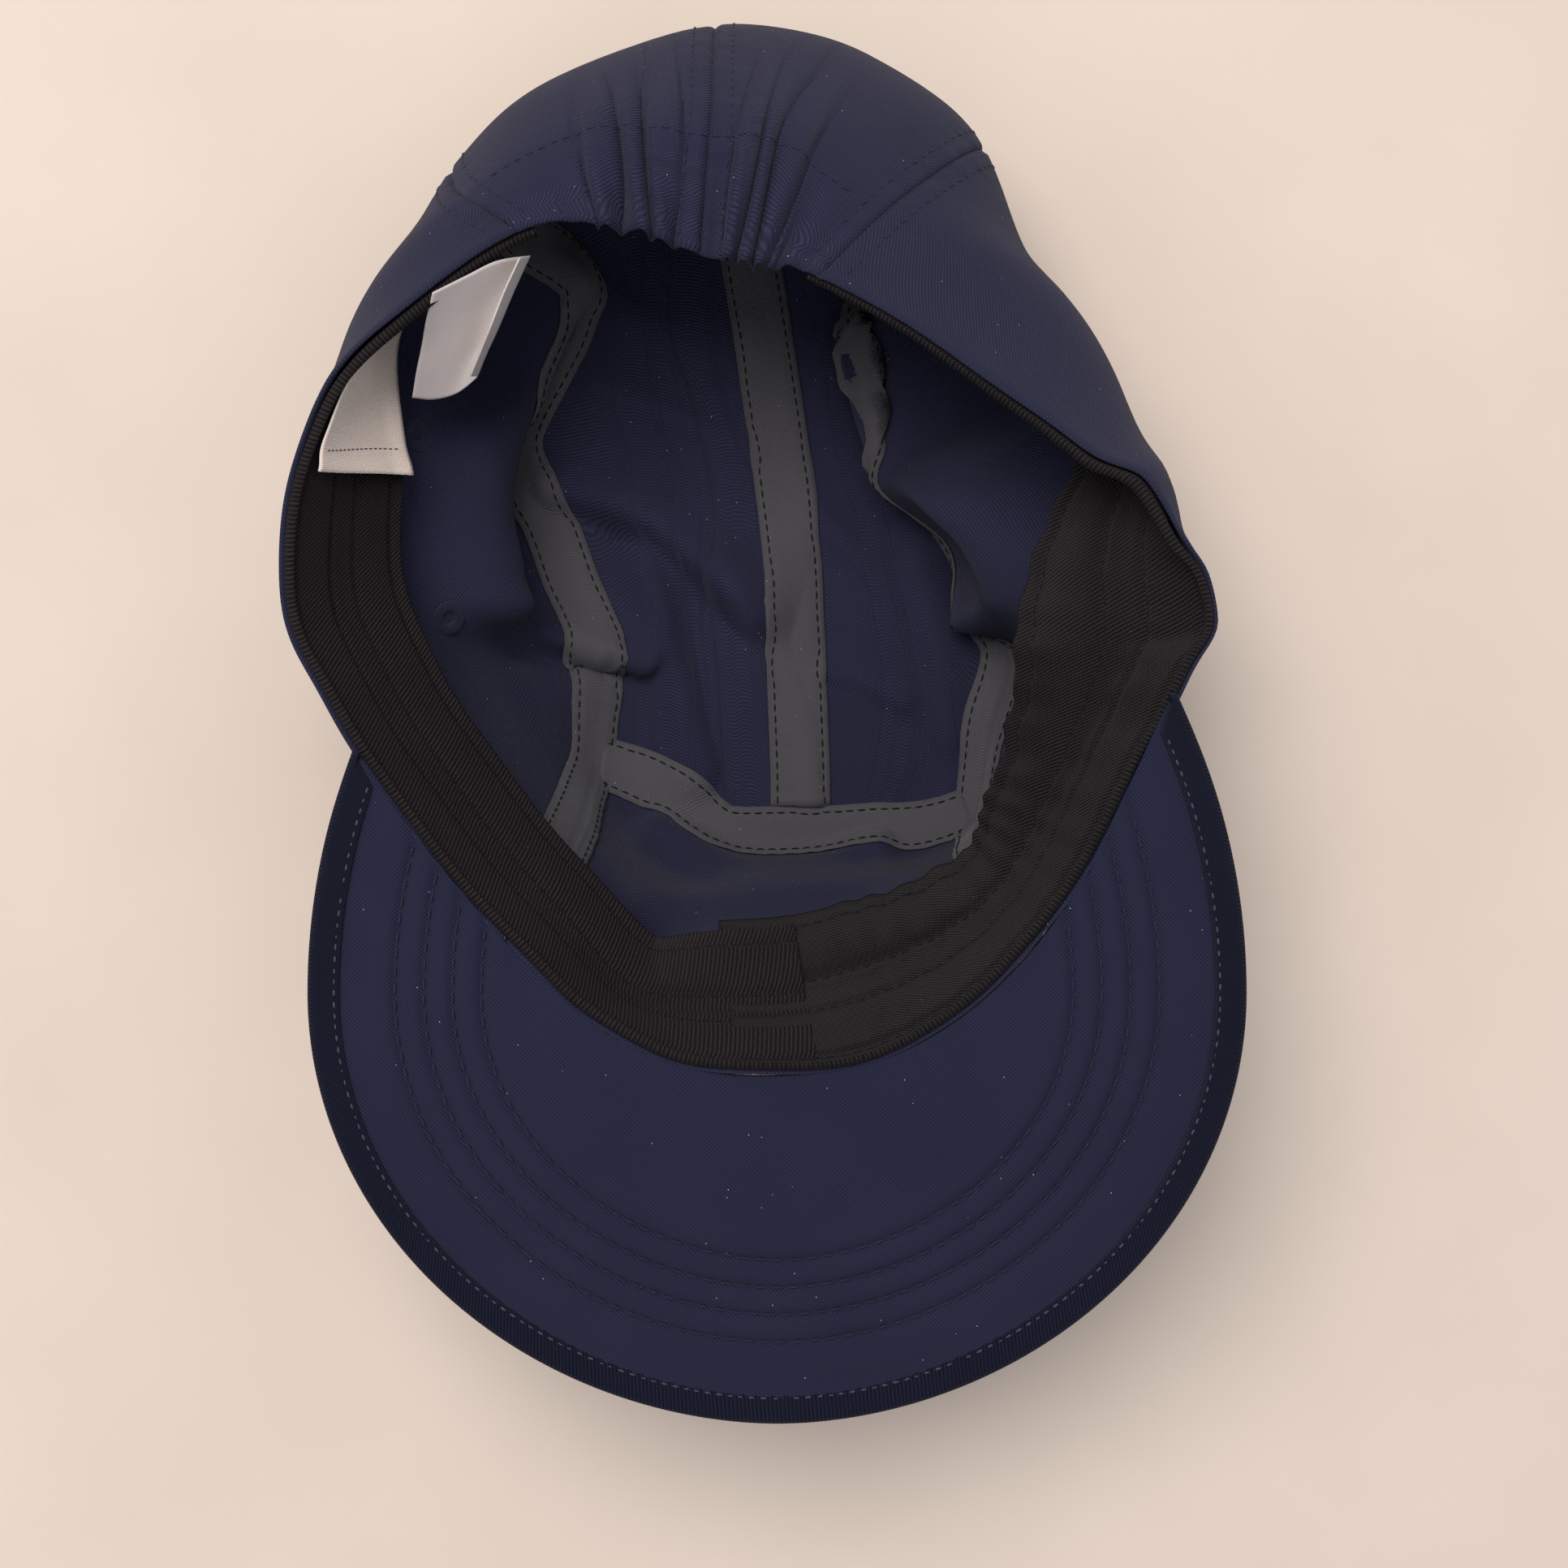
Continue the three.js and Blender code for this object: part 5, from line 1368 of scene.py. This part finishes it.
def eyelet_ring(centre, out):
    """A ring of satin stitches in the plane square to out, as rings of points."""
    first = unit(np.cross(out, [0.3, 0.5, 0.8]))
    second = np.cross(out, first)
    turns = np.linspace(0, 2 * np.pi, EYELET_STITCHES * 6, endpoint=False)
    around = np.linspace(0, 2 * np.pi, 10, endpoint=False)
    ridge = 1 + 0.16 * np.cos(EYELET_STITCHES * turns)
    rings = []
    for turn, high in zip(turns, ridge):
        spoke = math.cos(turn) * first + math.sin(turn) * second
        rings.append([centre + spoke * (EYELET_RADIUS + EYELET_HALF * math.cos(a) * (1 + 0.05 * (high - 1)))
                      + out * EYELET_RISE * high * math.sin(a) for a in around])
    return np.array(rings)


def ring_faces(turns, around, offset):
    faces = []
    for i in range(turns):
        for j in range(around):
            a, b = i * around + j, i * around + (j + 1) % around
            c, d = ((i + 1) % turns) * around + (j + 1) % around, ((i + 1) % turns) * around + j
            faces.append((a + offset, d + offset, c + offset, b + offset))
    return faces


def eyelet(name, section, inward_at):
    spot = to_disk(np.array([float(section)]), np.array([inward_at]))
    centre, out = crown(spot)[0], normals(crown, spot)[0]
    points, faces = [], []
    for side in (1, -1):
        rings = eyelet_ring(centre + out * side * (CLOTH / 2 + 0.15), out)
        faces += ring_faces(*rings.shape[:2], len(points) * rings.shape[0] * rings.shape[1])
        points.append(rings.reshape(-1, 3))
    points = np.vstack(points)
    new_piece(name, points, faces, points[:, :2] * 2, THREAD, [name])


for name, (section, inward_at) in EYELETS.items():
    eyelet(name, section, inward_at)

# %% [markdown]
# ## One loose thread
# A thread of the eyelet at the right of the back has come loose and hangs outside as a tiny loop,
# below the overhang of the wall. It is laid as a chain of very short stitches, so it shares its shape
# with every other thread of the cap.

# %% A loop beside one eyelet
LOOP_AT, LOOP_RADIUS, LOOP_STEP = EYELETS["eyelet_right_back"], 1.5, 0.5
LOOP_OPEN, LOOP_NARROW = 0.3, 0.7
loop_spot = to_disk(np.array([LOOP_AT[0]]), np.array([LOOP_AT[1]]))
loop_out = -normals(crown, loop_spot)[0]
loop_side = unit(np.cross(loop_out, lift))
turns = np.linspace(LOOP_OPEN, 2 * np.pi - LOOP_OPEN, 60)[:, None] + np.pi
loop_middle = crown(loop_spot)[0] + loop_out * (CLOTH / 2 + LOOP_RADIUS)
loop_line = loop_middle + LOOP_RADIUS * (np.cos(turns) * loop_out + LOOP_NARROW * np.sin(turns) * loop_side)
loop = StitchBox()
loop.row(loop_line, np.tile(lift, (len(loop_line), 1)), LOOP_STEP, share=1.0, thick=0.13)
loop.make("loose_thread", THREAD)
